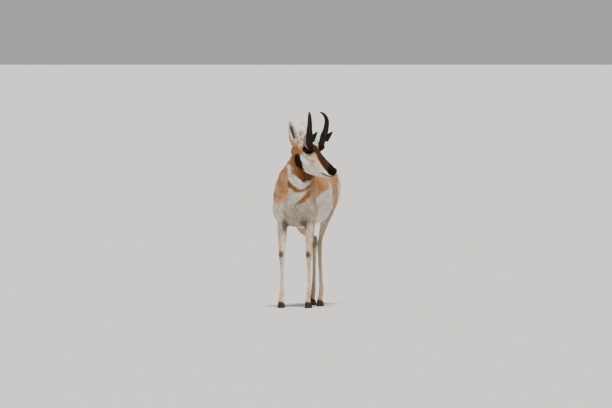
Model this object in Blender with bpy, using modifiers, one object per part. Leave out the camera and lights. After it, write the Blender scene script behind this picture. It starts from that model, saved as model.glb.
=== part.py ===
"""Pronghorn buck, a life-size still model that stands with its head turned to its left.

Metres, +Z up. The animal faces -Y and its left side is +X. While it is modelled, the
origin is the floor midway between the fore feet. At the end everything moves so that
the middle of its bounding box stands over the origin.
"""
import bmesh
import bpy
from math import cos, pi, radians, sin
from mathutils import Matrix, Vector
from mathutils.bvhtree import BVHTree
from random import Random

# Driving sizes of the body
WITHERS_Z = 0.872          # top of the back over the fore legs
CROUP_Z = 0.850            # top of the rump
BRISKET_Z = 0.502          # lowest point of the chest
GAP = 0.0003               # left between nodes that meet

# Driving sizes of the head
POLL = Vector((0.054, -0.080, 1.000))   # where the skull meets the neck
HEAD_TURN = 68.0           # degrees to its left, from straight ahead
HEAD_PITCH = 30.0          # degrees that the muzzle points down
EYE = Vector((0.047, 0.088, 0.037))     # left eye in the head's own frame
EYE_R = 0.0225
LID = 0.0035               # thickness of the lids
HORN_FOOT = Vector((0.056, 0.099, 0.070))
HORN_RISE = 0.215          # from the foot of a horn to its tip
EAR_ROOT = Vector((0.052, -0.014, 0.030))
EAR_LENGTH = 0.150

# Where the legs stand, for the left side (1) and the right side (-1)
FORE_X = 0.088             # from the middle to each fore foot
STIFLES = {1: (0.079, 0.405, 0.600), -1: (-0.120, 0.425, 0.543)}
HOCKS = {1: (0.018, 0.468, 0.392), -1: (-0.079, 0.694, 0.398)}
HIND_FEET = {1: (0.033, 0.448), -1: (-0.084, 0.676)}

# The neck's sections, from the chest to the poll
NECK = [
    # x, y, z, half width, towards the throat, towards the nape, turn in degrees
    (0.000, 0.015, 0.705, 0.110, 0.110, 0.130, 0),
    (0.001, -0.022, 0.775, 0.112, 0.090, 0.105, 2),
    (0.006, -0.050, 0.832, 0.099, 0.080, 0.082, 8),
    (0.019, -0.069, 0.880, 0.066, 0.072, 0.060, 20),
    (0.034, -0.078, 0.921, 0.051, 0.066, 0.048, 36),
    (0.046, -0.081, 0.956, 0.046, 0.062, 0.043, 53),
    (0.056, -0.082, 0.985, 0.042, 0.058, 0.039, 68),
]

# Mesh sizes
BODY_VOXEL = 0.0045
HEAD_VOXEL = 0.0030
BODY_TRIANGLES = 4400
HEAD_TRIANGLES = 3200
BODY_SMOOTH = 30           # rounds of smoothing after the forms are melted together
HEAD_SMOOTH = 9

# Long hair
HAIR_SEED = 11
LOCK_SINK = 0.012          # how deep a lock is rooted
MANE_ROWS = 11
MANE_SPAN = (6.0, 1.8)     # from the poll down to the withers, in sections of the neck
MANE_FAN = 24.0            # degrees from the nape's middle to the locks beside it
MANE_LOCK = (0.060, 0.0105, 0.017)      # length, half width, and how far the tip stands off
TAIL_LOCK = (0.048, 0.0075, 0.008)
RUMP_LOCK = (0.046, 0.0095, 0.009)
TAIL_ROWS = 3
TAIL_HAIR_TOP = 0.770
RUMP_ROWS = 4
RUMP_HAIR_TOP = 0.790
RUMP_HAIR_X = 0.058
LOCK_SHAPE = (
    # part of the length, part of the width, half thickness, part of the lift (-1: at the root's depth)
    (0.00, 0.60, 0.0020, -1),
    (0.32, 1.00, 0.0021, 0.30),
    (0.68, 0.74, 0.0017, 0.78),
    (1.00, 0.12, 0.0006, 1.00),
)
MANE_SEARCH = 0.25         # rays that look for the skin start this far out
REAR_Y = 1.0               # and behind the rump, this far back
REAR_SPREAD = 1.4

SIDES = (("left", 1), ("right", -1))
UP = Vector((0, 0, 1))


# Frames
def head_frame():
    """Matrix from the head's own frame (left, forward, up) to the world."""
    turn = radians(HEAD_TURN)
    level = Vector((sin(turn), -cos(turn), 0.0))
    left = Vector((cos(turn), sin(turn), 0.0))
    pitch = radians(HEAD_PITCH)
    forward = level * cos(pitch) - Vector((0, 0, sin(pitch)))
    up = level * sin(pitch) + Vector((0, 0, cos(pitch)))
    frame = Matrix((left, forward, up)).transposed().to_4x4()
    frame.translation = POLL
    return frame


HEAD = head_frame()
HEAD_LEVEL = Vector((sin(radians(HEAD_TURN)), -cos(radians(HEAD_TURN)), 0.0))
HEAD_LEFT = Vector((cos(radians(HEAD_TURN)), sin(radians(HEAD_TURN)), 0.0))


# How each ear leans, and the way that its cup faces
EAR_POSES = {
    1: (Vector((0, 0, 0.135)) + HEAD_LEFT * 0.030 - HEAD_LEVEL * 0.050,
        HEAD_LEFT * 0.9 - HEAD_LEVEL * 0.15),
    -1: (Vector((0, 0, 0.150)) - HEAD_LEFT * 0.048 - HEAD_LEVEL * 0.012,
         HEAD_LEVEL * 0.62 - HEAD_LEFT * 0.78),
}

# Planes that part the nodes: a point, the way across, and how far the cut reaches
NECK_CUT = (Vector((0.030, -0.074, 0.891)), HEAD_LEVEL * 0.57 + Vector((0, 0, 0.82)), 0.14)
TAIL_CUT = (Vector((0.0, 0.752, 0.780)), Vector((0, 0.80, -0.60)), 0.045)
CHEST_CUT = (Vector((0.0, -0.020, 0.790)), Vector((0, -0.80, 0.60)), 0.24)
GASKIN_CUTS = {1: (0.42, 0.0), -1: (0.30, -0.25)}     # part of the way to the hock, and tilt
CORONET = Vector((0.0, -0.027, 0.036))       # from the middle of the leg at the floor
CORONET_UP = Vector((0.0, 0.30, 1.0)).normalized()


def mirrored(point, side):
    """A point of the left side, on the side that `side` says."""
    return Vector((point[0] * side, point[1], point[2]))


def in_head(point):
    return HEAD @ Vector(point)


# Sections and lofts
def section(centre, across, up, half_width, above, below, power=2.2, count=24):
    """Closed ring round a centre: a superellipse with its own height above and below."""
    ring = []
    for i in range(count):
        angle = 2 * pi * i / count
        c = cos(angle)
        s = sin(angle)
        x = half_width * abs(c) ** (2 / power) * (1 if c >= 0 else -1)
        height = above if s >= 0 else below
        z = height * abs(s) ** (2 / power) * (1 if s >= 0 else -1)
        ring.append(centre + across * x + up * z)
    return ring


def loft(bm, rings):
    """Closed skin through rings that have as many points each."""
    rows = [[bm.verts.new(point) for point in ring] for ring in rings]
    count = len(rows[0])
    for low, high in zip(rows, rows[1:]):
        for i in range(count):
            j = (i + 1) % count
            bm.faces.new((low[i], low[j], high[j], high[i]))
    bm.faces.new(tuple(reversed(rows[0])))
    bm.faces.new(rows[-1])


def ball(bm, centre, radii, axes=None, detail=3):
    """Ellipsoid with its radii along three axes."""
    spin = Matrix((axes[0], axes[1], axes[2])).transposed().to_4x4() if axes else Matrix()
    size = Matrix.Diagonal((radii[0], radii[1], radii[2], 1.0))
    place = Matrix.Translation(centre) @ spin @ size
    bmesh.ops.create_icosphere(bm, subdivisions=detail, radius=1.0, matrix=place)


def muscle(bm, start, end, thick, deep):
    """Ellipsoid from start to end; `thick` runs sideways and `deep` across that."""
    start = Vector(start)
    end = Vector(end)
    along = (end - start).normalized()
    sideways = Vector((1, 0, 0)) - along * along.x
    sideways.normalize()
    third = along.cross(sideways)
    ball(bm, (start + end) / 2, ((end - start).length / 2, thick, deep), (along, sideways, third))


def limb(bm, stations, count=16):
    """Loft down a leg through (x, y, z, half width, half depth) stations."""
    points = [Vector(s[:3]) for s in stations]
    rings = []
    for i, station in enumerate(stations):
        before = points[max(i - 1, 0)]
        after = points[min(i + 1, len(points) - 1)]
        along = (after - before).normalized()
        across = (Vector((1, 0, 0)) - along * along.x).normalized()
        back = along.cross(across)
        rings.append(section(points[i], across, back, station[3], station[4], station[4], 2.1, count))
    loft(bm, rings)


# The body's forms
def torso_form(bm):
    """Trunk from the breast to the rump, through sections across it."""
    stations = [
        # y, top, bottom, half width, height of the widest place, power
        (-0.100, 0.725, 0.640, 0.040, 0.690, 2.0),
        (-0.085, 0.785, 0.580, 0.080, 0.680, 2.1),
        (-0.055, 0.835, 0.530, 0.108, 0.680, 2.2),
        (-0.010, WITHERS_Z - 0.006, 0.508, 0.124, 0.685, 2.3),
        (0.050, WITHERS_Z, BRISKET_Z, 0.134, 0.685, 2.3),
        (0.130, WITHERS_Z - 0.008, 0.500, 0.142, 0.680, 2.25),
        (0.220, 0.852, 0.503, 0.147, 0.675, 2.2),
        (0.310, 0.846, 0.512, 0.144, 0.675, 2.2),
        (0.390, 0.846, 0.528, 0.130, 0.685, 2.2),
        (0.460, 0.849, 0.550, 0.115, 0.700, 2.3),
        (0.530, CROUP_Z, 0.580, 0.110, 0.730, 2.5),
        (0.600, CROUP_Z - 0.004, 0.615, 0.108, 0.740, 2.6),
        (0.660, 0.828, 0.640, 0.095, 0.740, 2.5),
        (0.710, 0.796, 0.660, 0.072, 0.730, 2.3),
        (0.740, 0.765, 0.680, 0.045, 0.722, 2.0),
    ]
    across = Vector((1, 0, 0))
    up = Vector((0, 0, 1))
    rings = []
    for y, top, bottom, half, widest, power in stations:
        centre = Vector((0, y, widest))
        rings.append(section(centre, across, up, half, top - widest, widest - bottom, power, 32))
    loft(bm, rings)


def shoulder_form(bm, side):
    """Shoulder blade, upper arm and the muscle over the point of the shoulder."""
    muscle(bm, (side * 0.080, 0.065, 0.855), (side * 0.108, -0.050, 0.620), 0.042, 0.075)
    muscle(bm, (side * 0.100, -0.060, 0.690), (side * 0.105, 0.050, 0.540), 0.044, 0.062)
    muscle(bm, (side * 0.085, 0.075, 0.740), (side * 0.102, 0.040, 0.520), 0.040, 0.055)
    muscle(bm, (side * 0.050, -0.090, 0.720), (side * 0.060, -0.045, 0.540), 0.046, 0.040)


def hip_form(bm, side, stifle):
    """Hip bone, thigh and buttock, down to the stifle that is given."""
    muscle(bm, (side * 0.060, 0.440, 0.818), (side * 0.084, 0.640, 0.780), 0.034, 0.046)
    muscle(bm, (side * 0.072, 0.650, 0.835), stifle, 0.038, 0.090)
    muscle(bm, (side * 0.052, 0.735, 0.810), (side * 0.058, 0.545, 0.600), 0.044, 0.058)
    muscle(bm, (side * 0.066, 0.500, 0.800), stifle, 0.040, 0.070)


def neck_axes(index):
    """Middle of a section of the neck, its way across and its way to the nape."""
    points = [Vector(station[:3]) for station in NECK]
    along = (points[min(index + 1, len(NECK) - 1)] - points[max(index - 1, 0)]).normalized()
    turn = radians(NECK[index][6])
    left = Vector((cos(turn), sin(turn), 0.0))
    facing = Vector((sin(turn), -cos(turn), 0.0))
    across = (left - along * left.dot(along)).normalized()
    nape = along.cross(across)
    if nape.dot(facing) > 0:
        nape = -nape
    return points[index], across, nape


def neck_rings(first):
    """Rings square to the neck's own line, turned more and more to the left."""
    rings = []
    for index in range(first, len(NECK)):
        centre, across, nape = neck_axes(index)
        half, throat, back = NECK[index][3:6]
        rings.append(section(centre, across, nape, half, back, throat, 2.15, 24))
    return rings


def fore_stations(side):
    """Fore leg from inside the shoulder to the coronet."""
    x = side * FORE_X
    return [
        (x, 0.034, 0.600, 0.034, 0.056),
        (x + side * 0.002, 0.022, 0.545, 0.035, 0.050),
        (x + side * 0.001, 0.010, 0.490, 0.0330, 0.0400),
        (x, 0.003, 0.430, 0.0275, 0.0305),
        (x, -0.002, 0.375, 0.0222, 0.0230),
        (x, -0.006, 0.332, 0.0228, 0.0228),
        (x, -0.003, 0.296, 0.0178, 0.0185),
        (x, 0.001, 0.240, 0.0133, 0.0140),
        (x, 0.003, 0.160, 0.0128, 0.0138),
        (x, 0.001, 0.118, 0.0155, 0.0170),
        (x, -0.003, 0.093, 0.0178, 0.0195),
        (x, -0.014, 0.066, 0.0150, 0.0165),
        (x, -0.024, 0.044, 0.0192, 0.0215),
        (x, -0.031, 0.022, 0.0195, 0.0220),
    ]


def blend(start, end, part):
    return Vector(start).lerp(Vector(end), part)


def hind_stations(side):
    """Hind leg from inside the thigh, by stifle and hock, to the coronet."""
    stifle = Vector(STIFLES[side])
    hock = Vector(HOCKS[side])
    foot_x, foot_y = HIND_FEET[side]
    thigh = Vector((side * 0.074, 0.560, 0.700))
    upper = blend(stifle, hock, 0.30)
    middle = blend(stifle, hock, 0.58)
    lower = blend(stifle, hock, 0.82)
    shank = Vector((foot_x, foot_y + 0.012, 0.0))
    return [
        (*thigh, 0.038, 0.088),
        (*blend(thigh, stifle, 0.6), 0.038, 0.080),
        (stifle.x * 0.97, stifle.y + 0.030, stifle.z - 0.010, 0.036, 0.062),
        (upper.x, upper.y + 0.016, upper.z, 0.0300, 0.050),
        (middle.x, middle.y + 0.008, middle.z, 0.0210, 0.035),
        (lower.x, lower.y + 0.002, lower.z, 0.0142, 0.0245),
        (*hock, 0.0165, 0.0260),
        (hock.x + (foot_x - hock.x) * 0.2, hock.y - 0.006, 0.345, 0.0148, 0.0215),
        (blend(hock, shank, 0.35).x, blend(hock, shank, 0.35).y - 0.004, 0.290, 0.0136, 0.0170),
        (blend(hock, shank, 0.60).x, blend(hock, shank, 0.60).y - 0.002, 0.200, 0.0130, 0.0152),
        (foot_x, foot_y + 0.010, 0.118, 0.0152, 0.0172),
        (foot_x, foot_y + 0.006, 0.093, 0.0172, 0.0195),
        (foot_x, foot_y - 0.006, 0.066, 0.0148, 0.0165),
        (foot_x, foot_y - 0.016, 0.044, 0.0188, 0.0212),
        (foot_x, foot_y - 0.023, 0.022, 0.0190, 0.0215),
    ]


def hock_point_form(bm, side):
    """Heel bone and the tendon that runs up from it to the gaskin."""
    hock = Vector(HOCKS[side])
    tip = hock + Vector((0, 0.021, 0.025))
    muscle(bm, tip + Vector((0, 0.004, 0.020)), hock + Vector((0, 0.004, -0.040)), 0.0135, 0.0170)
    calf = blend(STIFLES[side], HOCKS[side], 0.45) + Vector((0, 0.040, 0.018))
    muscle(bm, calf, tip, 0.0090, 0.0120)


def tail_form(bm):
    """Short tail that hangs close to the rump."""
    stations = [
        (0.0, 0.700, 0.806, 0.022, 0.018),
        (0.0, 0.745, 0.794, 0.024, 0.018),
        (0.0, 0.780, 0.768, 0.027, 0.017),
        (0.0, 0.796, 0.730, 0.026, 0.015),
        (0.0, 0.798, 0.700, 0.017, 0.011),
        (0.0, 0.796, 0.680, 0.005, 0.004),
    ]
    limb(bm, stations, 12)


def body_form():
    bm = bmesh.new()
    torso_form(bm)
    loft(bm, neck_rings(0))
    for name, side in SIDES:
        shoulder_form(bm, side)
        hip_form(bm, side, STIFLES[side])
        limb(bm, fore_stations(side))
        limb(bm, hind_stations(side))
        hock_point_form(bm, side)
    tail_form(bm)
    return bm


# The head's forms
def head_form():
    """Skull, jaw, cheeks, brows and muzzle, with the top of the neck."""
    bm = bmesh.new()
    stations = [
        # forward, top, bottom, half width, height of the widest place
        (-0.044, 0.020, -0.050, 0.026, -0.015),
        (-0.020, 0.050, -0.072, 0.046, -0.010),
        (0.015, 0.068, -0.085, 0.054, 0.000),
        (0.055, 0.077, -0.098, 0.056, 0.005),
        (0.095, 0.074, -0.105, 0.052, 0.000),
        (0.130, 0.063, -0.106, 0.044, -0.010),
        (0.165, 0.053, -0.098, 0.037, -0.015),
        (0.205, 0.045, -0.083, 0.0325, -0.015),
        (0.245, 0.039, -0.067, 0.0305, -0.012),
        (0.280, 0.034, -0.055, 0.0290, -0.010),
        (0.302, 0.024, -0.044, 0.0250, -0.008),
        (0.316, 0.010, -0.028, 0.0150, -0.008),
    ]
    across = HEAD.col[0].to_3d()
    up = HEAD.col[2].to_3d()
    rings = []
    for forward, top, bottom, half, widest in stations:
        centre = in_head((0, forward, widest))
        rings.append(section(centre, across, up, half, top - widest, widest - bottom, 2.25, 28))
    loft(bm, rings)
    axes = tuple(HEAD.col[i].to_3d() for i in range(3))
    for name, side in SIDES:
        eye = mirrored(EYE, side)
        ball(bm, in_head(eye), (EYE_R + LID,) * 3, axes)
        for centre, radii in (
            ((0.040, 0.074, 0.046), (0.024, 0.036, 0.026)),      # brow
            ((0.050, 0.048, 0.026), (0.018, 0.040, 0.020)),      # temple
            ((0.040, 0.088, -0.048), (0.022, 0.050, 0.046)),     # cheek muscle
            ((0.040, 0.125, 0.005), (0.014, 0.045, 0.014)),      # cheek bone
            ((0.0215, 0.292, 0.010), (0.0125, 0.020, 0.018)),    # nostril wing
            ((0.0190, 0.268, -0.022), (0.0140, 0.036, 0.013)),   # upper lip
            ((0.0130, 0.268, -0.044), (0.0135, 0.030, 0.010)),   # lower lip
        ):
            ball(bm, in_head(mirrored(centre, side)), radii, axes)
        ball(bm, horn_foot(side) - Vector((0, 0, 0.004)), (0.0245, 0.0245, 0.022))
        tuft = horn_foot(side) - HEAD_LEVEL * 0.024 + Vector((0, 0, 0.034))
        ball(bm, tuft, (0.021, 0.021, 0.044))
    ball(bm, in_head((0, 0.302, 0.006)), (0.018, 0.016, 0.020), axes)
    loft(bm, neck_rings(1))
    return bm


# Horns, ears and hooves
def horn_foot(side):
    return in_head(mirrored(HORN_FOOT, side))


def horn_rings(side, rows, grow, front_up):
    """Rings of a horn through rows: part of the rise, outward, forward, half depth, half thickness."""
    foot = horn_foot(side)
    points = []
    for rise, out, front, deep, thick in rows:
        level = HEAD_LEFT * (side * out) + HEAD_LEVEL * front
        points.append(foot + level + Vector((0, 0, rise * HORN_RISE)))
    rings = []
    for i, row in enumerate(rows):
        along = (points[min(i + 1, len(rows) - 1)] - points[max(i - 1, 0)]).normalized()
        towards = Vector((0, 0, 1)) if front_up and i else HEAD_LEVEL
        deep_way = (towards - along * towards.dot(along)).normalized()
        thick = row[4] + grow
        thick_way = along.cross(deep_way)
        rings.append(section(points[i], deep_way, thick_way, row[3] + grow, thick, thick, 2.1, 12))
    return rings


def horn(name, side, grow=0.0):
    """Beam that rises, leans out and hooks in at the tip, with a prong to the front.

    With `grow` it is that much thicker, as the cutter of its own socket in the head.
    """
    beam_rows = [
        (0.025 - grow / HORN_RISE, 0.001, 0.000, 0.0215, 0.0168),
        (0.10, 0.004, 0.001, 0.0220, 0.0165),
        (0.26, 0.013, 0.008, 0.0230, 0.0155),
        (0.38, 0.020, 0.014, 0.0215, 0.0148),
        (0.47, 0.025, 0.018, 0.0175, 0.0145),
        (0.60, 0.029, 0.022, 0.0155, 0.0138),
        (0.74, 0.030, 0.024, 0.0132, 0.0122),
        (0.86, 0.0245, 0.019, 0.0108, 0.0098),
        (0.94, 0.015, 0.010, 0.0078, 0.0070),
        (0.985, 0.003, 0.000, 0.0045, 0.0040),
        (1.00, -0.004, -0.006, 0.0014, 0.0014),
    ]
    prong_rows = [
        (0.13, 0.008, 0.006, 0.0250, 0.0100),
        (0.21, 0.012, 0.028, 0.0225, 0.0095),
        (0.30, 0.016, 0.048, 0.0155, 0.0075),
        (0.38, 0.019, 0.065, 0.0082, 0.0050),
        (0.435, 0.021, 0.078, 0.0014, 0.0014),
    ]
    beam = bmesh.new()
    loft(beam, horn_rings(side, beam_rows, grow, False))
    prong = bmesh.new()
    loft(prong, horn_rings(side, prong_rows, grow, True))
    return unite(mesh_object(name, beam), [mesh_object(name + "_prong", prong)])


def ear(side, lean, opening):
    """Leaf-shaped cup: a shell that is almost a tube at its root and opens upwards."""
    root = in_head(mirrored(EAR_ROOT, side))
    along = lean.normalized()
    front = (opening - along * opening.dot(along)).normalized()
    across = along.cross(front)
    wall = 0.0042
    rings = []
    rows = 11
    for i in range(rows):
        part = i / (rows - 1)
        half_width = 0.0265 * sin(pi * min(1.0, 0.16 + 0.84 * part)) ** 0.62
        half_width = max(half_width, 0.0022)
        curl = radians(158 - 92 * part)
        radius = half_width / (1.0 if curl > pi / 2 else sin(curl))
        thick = min(wall, half_width * 0.8) * (1 - 0.35 * part)
        centre = root + along * (EAR_LENGTH * part - 0.012) - front * (0.012 * sin(pi * part))
        outer = []
        inner = []
        for k in range(9):
            angle = -curl + 2 * curl * k / 8
            out = across * sin(angle) - front * cos(angle)
            outer.append(centre + out * radius)
            inner.append(centre + out * (radius - thick))
        rings.append(outer + inner[::-1])
    bm = bmesh.new()
    loft(bm, rings)
    stem = section(root - along * 0.020, across, front, 0.016, 0.016, 0.016, 2.0, 12)
    top = section(root + along * 0.020, across, front, 0.019, 0.019, 0.019, 2.0, 12)
    plug = bmesh.new()
    loft(plug, [stem, top])
    leaf = mesh_object("ear_leaf_" + str(side), bm)
    return unite(leaf, [mesh_object("ear_stem_" + str(side), plug)])


def claw_outline(half, length, width, cleft, height_at):
    """One claw's outline, flat to its neighbour and pointed at the toe."""
    outer = []
    steps = 8
    for i in range(steps + 1):
        part = i / steps
        bulge = min(1.0, (part / 0.16 + 0.25) ** 0.5) * (1 - part ** 2.6) ** 0.62
        outer.append((cleft + max(0.0015, width * bulge), -length * part))
    inner = [(cleft + 0.0004, -length * 0.86), (cleft, -length * 0.45), (cleft, 0.0)]
    ring = []
    for x, y in outer + inner:
        ring.append(Vector((half * x, y, height_at(y))))
    return ring


def claw(name, x, y, half):
    """Hoof claw from its flat sole to the sloping coronet."""
    slope = -CORONET_UP.y / CORONET_UP.z

    def coronet_height(back):
        return CORONET.z + slope * (back + 0.004 - CORONET.y) - GAP

    low = claw_outline(half, 0.0660, 0.0215, 0.0012, lambda back: 0.0)
    middle = claw_outline(half, 0.0640, 0.0212, 0.0012, lambda back: 0.009)
    high = claw_outline(half, 0.0500, 0.0180, 0.0012, coronet_height)
    rings = []
    for ring, back in ((low, 0.004), (middle, 0.004), (high, 0.000)):
        rings.append([point + Vector((x, y + back, 0)) for point in ring])
    bm = bmesh.new()
    loft(bm, rings)
    return mesh_object(name, bm)


# Long hair
def lock(name, root, along, out, sizes, sway):
    """Flat tapered strand: rooted under the skin, lifting off it, with its tip swept aside."""
    length, half_width, lift = sizes
    across = along.cross(out).normalized()
    rings = []
    for part, spread, thick, rise in LOCK_SHAPE:
        height = -LOCK_SINK if rise < 0 else lift * rise
        centre = root + along * (length * part) + out * height + across * (sway * part * part)
        half = half_width * spread
        ring = [across * half, out * thick, across * -half, out * -thick]
        rings.append([centre + offset for offset in ring])
    bm = bmesh.new()
    loft(bm, rings)
    return mesh_object(name, bm)


def rooted(tree, outside, inside):
    """Point and normal of the skin where a ray from outside meets it."""
    hit = tree.ray_cast(outside, (inside - outside).normalized())
    return hit[0], hit[1]


def mane_locks(tree):
    """Rows of locks down the nape, which lie back towards the withers."""
    draw = Random(HAIR_SEED)
    made = []
    for row in range(MANE_ROWS):
        place = MANE_SPAN[0] + (MANE_SPAN[1] - MANE_SPAN[0]) * row / (MANE_ROWS - 1)
        low = min(int(place), len(NECK) - 2)
        part = place - low
        start, across_low, nape_low = neck_axes(low)
        end, across_high, nape_high = neck_axes(low + 1)
        centre = start.lerp(end, part)
        across = across_low.lerp(across_high, part)
        nape = nape_low.lerp(nape_high, part)
        for column in (-1, 0, 1):
            fan = radians(MANE_FAN * column + draw.uniform(-6, 6))
            out = (nape * cos(fan) + across * sin(fan)).normalized()
            length = MANE_LOCK[0] * draw.uniform(0.85, 1.1)
            sway = draw.uniform(-0.006, 0.006)
            root, normal = rooted(tree, centre + out * MANE_SEARCH, centre)
            if root is None:
                continue
            down = (start - end).normalized()
            along = (down - normal * down.dot(normal)).normalized()
            sizes = (length, MANE_LOCK[1], MANE_LOCK[2])
            made.append(lock("mane_lock", root, along, normal, sizes, sway))
    return made


def hanging_locks(tree, spots, sizes):
    """Locks that hang from the given (x, z) places on the back of the rump or tail."""
    draw = Random(HAIR_SEED + 1)
    made = []
    for x, z in spots:
        outside = Vector((x * REAR_SPREAD, REAR_Y, z + 0.02))
        root, normal = rooted(tree, outside, Vector((x, REAR_Y - 0.4, z)))
        down = Vector((draw.uniform(-0.08, 0.08) + x, 0.0, -1.0))
        along = (down - normal * down.dot(normal)).normalized()
        length = sizes[0] * draw.uniform(0.85, 1.1)
        sway = draw.uniform(-0.004, 0.004)
        made.append(lock("rear_lock", root, along, normal, (length, sizes[1], sizes[2]), sway))
    return made


def rear_locks(tree):
    """Hair of the tail, and the rump's white hair on both sides of it."""
    tail_spots = []
    for row in range(TAIL_ROWS):
        for column in (-1, 0, 1):
            tail_spots.append((column * 0.012, TAIL_HAIR_TOP - row * 0.030))
    rump_spots = []
    for name, side in SIDES:
        for row in range(RUMP_ROWS):
            for column in range(2):
                across = RUMP_HAIR_X + column * 0.022
                height = RUMP_HAIR_TOP - row * 0.032 - column * 0.010
                rump_spots.append((side * across, height))
    return hanging_locks(tree, tail_spots, TAIL_LOCK) + hanging_locks(tree, rump_spots, RUMP_LOCK)


# Mesh tools
def mesh_object(name, bm):
    bmesh.ops.recalc_face_normals(bm, faces=bm.faces[:])
    mesh = bpy.data.meshes.new(name)
    bm.to_mesh(mesh)
    bm.free()
    item = bpy.data.objects.new(name, mesh)
    bpy.context.scene.collection.objects.link(item)
    return item


def evaluated_copy(item):
    """Puts what an object's modifiers make into its own mesh."""
    bpy.context.view_layer.update()
    depsgraph = bpy.context.evaluated_depsgraph_get()
    mesh = bpy.data.meshes.new_from_object(item.evaluated_get(depsgraph), depsgraph=depsgraph)
    item.modifiers.clear()
    item.data = mesh


def combine(item, others, operation):
    """One Boolean on a collection of closed mesh objects, which are then removed."""
    group = bpy.data.collections.new("boolean_pieces")
    bpy.context.scene.collection.children.link(group)
    for other in others:
        bpy.context.scene.collection.objects.unlink(other)
        group.objects.link(other)
    boolean = item.modifiers.new("join", "BOOLEAN")
    boolean.operation = operation
    boolean.operand_type = "COLLECTION"
    boolean.collection = group
    boolean.solver = "MANIFOLD"
    evaluated_copy(item)
    for other in others:
        bpy.data.objects.remove(other)
    bpy.data.collections.remove(group)
    return item


def unite(item, others):
    return combine(item, others, "UNION")


def blended(name, bm, voxel, rounds, triangles):
    """Melts overlapping forms into one smooth skin of about so many triangles."""
    item = mesh_object(name, bm)
    remesh = item.modifiers.new("melt", "REMESH")
    remesh.mode = "VOXEL"
    remesh.voxel_size = voxel
    smooth = item.modifiers.new("smooth", "SMOOTH")
    smooth.factor = 0.5
    smooth.iterations = rounds
    evaluated_copy(item)
    decimate = item.modifiers.new("thin_out", "DECIMATE")
    decimate.ratio = triangles / (2.0 * len(item.data.polygons))
    evaluated_copy(item)
    return item


def cutting_plate(centre, normal, reach):
    """Disc as thin as the gap, which parts what it passes through."""
    normal = Vector(normal).normalized()
    side = normal.orthogonal().normalized()
    other = normal.cross(side)
    bm = bmesh.new()
    rings = []
    for height in (-GAP / 2, GAP / 2):
        middle = Vector(centre) + normal * height
        rings.append(section(middle, side, other, reach, reach, reach, 2.0, 24))
    loft(bm, rings)
    return mesh_object("plate", bm)


def into_triangles(bm):
    """Splits every face into triangles.

    Two many-sided faces can share two corners, and would then get the same diagonal.
    Those faces are fanned from their middles instead.
    """
    bm.verts.index_update()
    trial = bm.copy()
    bmesh.ops.triangulate(trial, faces=trial.faces[:])
    doubled = [{vert.index for vert in e.verts} for e in trial.edges if len(e.link_faces) > 2]
    trial.free()
    fans = []
    for face in bm.faces:
        corners = {vert.index for vert in face.verts}
        if len(corners) > 3 and any(pair <= corners for pair in doubled):
            fans.append(face)
    bmesh.ops.poke(bm, faces=fans)
    bmesh.ops.triangulate(bm, faces=bm.faces[:])


def islands(bm):
    """Lists of faces, one for each closed surface."""
    left = set(bm.faces)
    found = []
    while left:
        stack = [left.pop()]
        group = list(stack)
        while stack:
            for edge in stack.pop().edges:
                for face in edge.link_faces:
                    if face in left:
                        left.discard(face)
                        stack.append(face)
                        group.append(face)
        found.append(group)
    return found


def named_pieces(item, seeds):
    """Turns each closed surface into an object named for the nearest seed."""
    bm = bmesh.new()
    bm.from_mesh(item.data)
    into_triangles(bm)
    groups = sorted(islands(bm), key=len, reverse=True)
    made = {}
    for group in groups:
        verts = {vert for face in group for vert in face.verts}
        low = Vector([min(v.co[i] for v in verts) for i in range(3)])
        high = Vector([max(v.co[i] for v in verts) for i in range(3)])
        middle = (low + high) / 2
        free = [name for name in seeds if name not in made]
        if len(group) < 8 or not free:
            continue
        name = min(free, key=lambda key: (Vector(seeds[key]) - middle).length)
        order = {vert: i for i, vert in enumerate(verts)}
        mesh = bpy.data.meshes.new(name)
        mesh.from_pydata([v.co for v in order], [], [[order[v] for v in f.verts] for f in group])
        made[name] = bpy.data.objects.new(name, mesh)
        bpy.context.scene.collection.objects.link(made[name])
    bm.free()
    bpy.data.objects.remove(item)
    return made


# Cuts in the head: eye sockets, lid openings, mouth and nostrils
def eyeball(name, side, radius):
    bm = bmesh.new()
    centre = in_head(mirrored(EYE, side))
    place = Matrix.Translation(centre) @ HEAD.to_3x3().to_4x4()
    bmesh.ops.create_uvsphere(bm, u_segments=14, v_segments=9, radius=radius, matrix=place)
    return mesh_object(name, bm)


def lid_opening(side):
    """Almond-shaped plug that opens the lids over the eye."""
    near = []
    far = []
    for i in range(12):
        angle = 2 * pi * i / 12
        forward = 0.0200 * cos(angle)
        up = 0.0135 * sin(angle) * (1 - 0.25 * abs(cos(angle)))
        for ring, depth, grow in ((near, 0.010, 0.92), (far, 0.040, 1.10)):
            spot = EYE + Vector((depth, forward * grow + 0.15 * depth, up * grow + 0.004))
            ring.append(in_head(mirrored(spot, side)))
    bm = bmesh.new()
    loft(bm, [near, far])
    return mesh_object("lid_opening_" + str(side), bm)


def skin_tree(item):
    """Search tree of an object's faces, for rays."""
    bm = bmesh.new()
    bm.from_mesh(item.data)
    tree = BVHTree.FromBMesh(bm)
    bm.free()
    return tree


def surface_spot(tree, start, towards):
    """Where a ray from outside first meets the head's skin."""
    hit = tree.ray_cast(start, (towards - start).normalized())
    return hit[0] if hit[0] else towards


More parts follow.
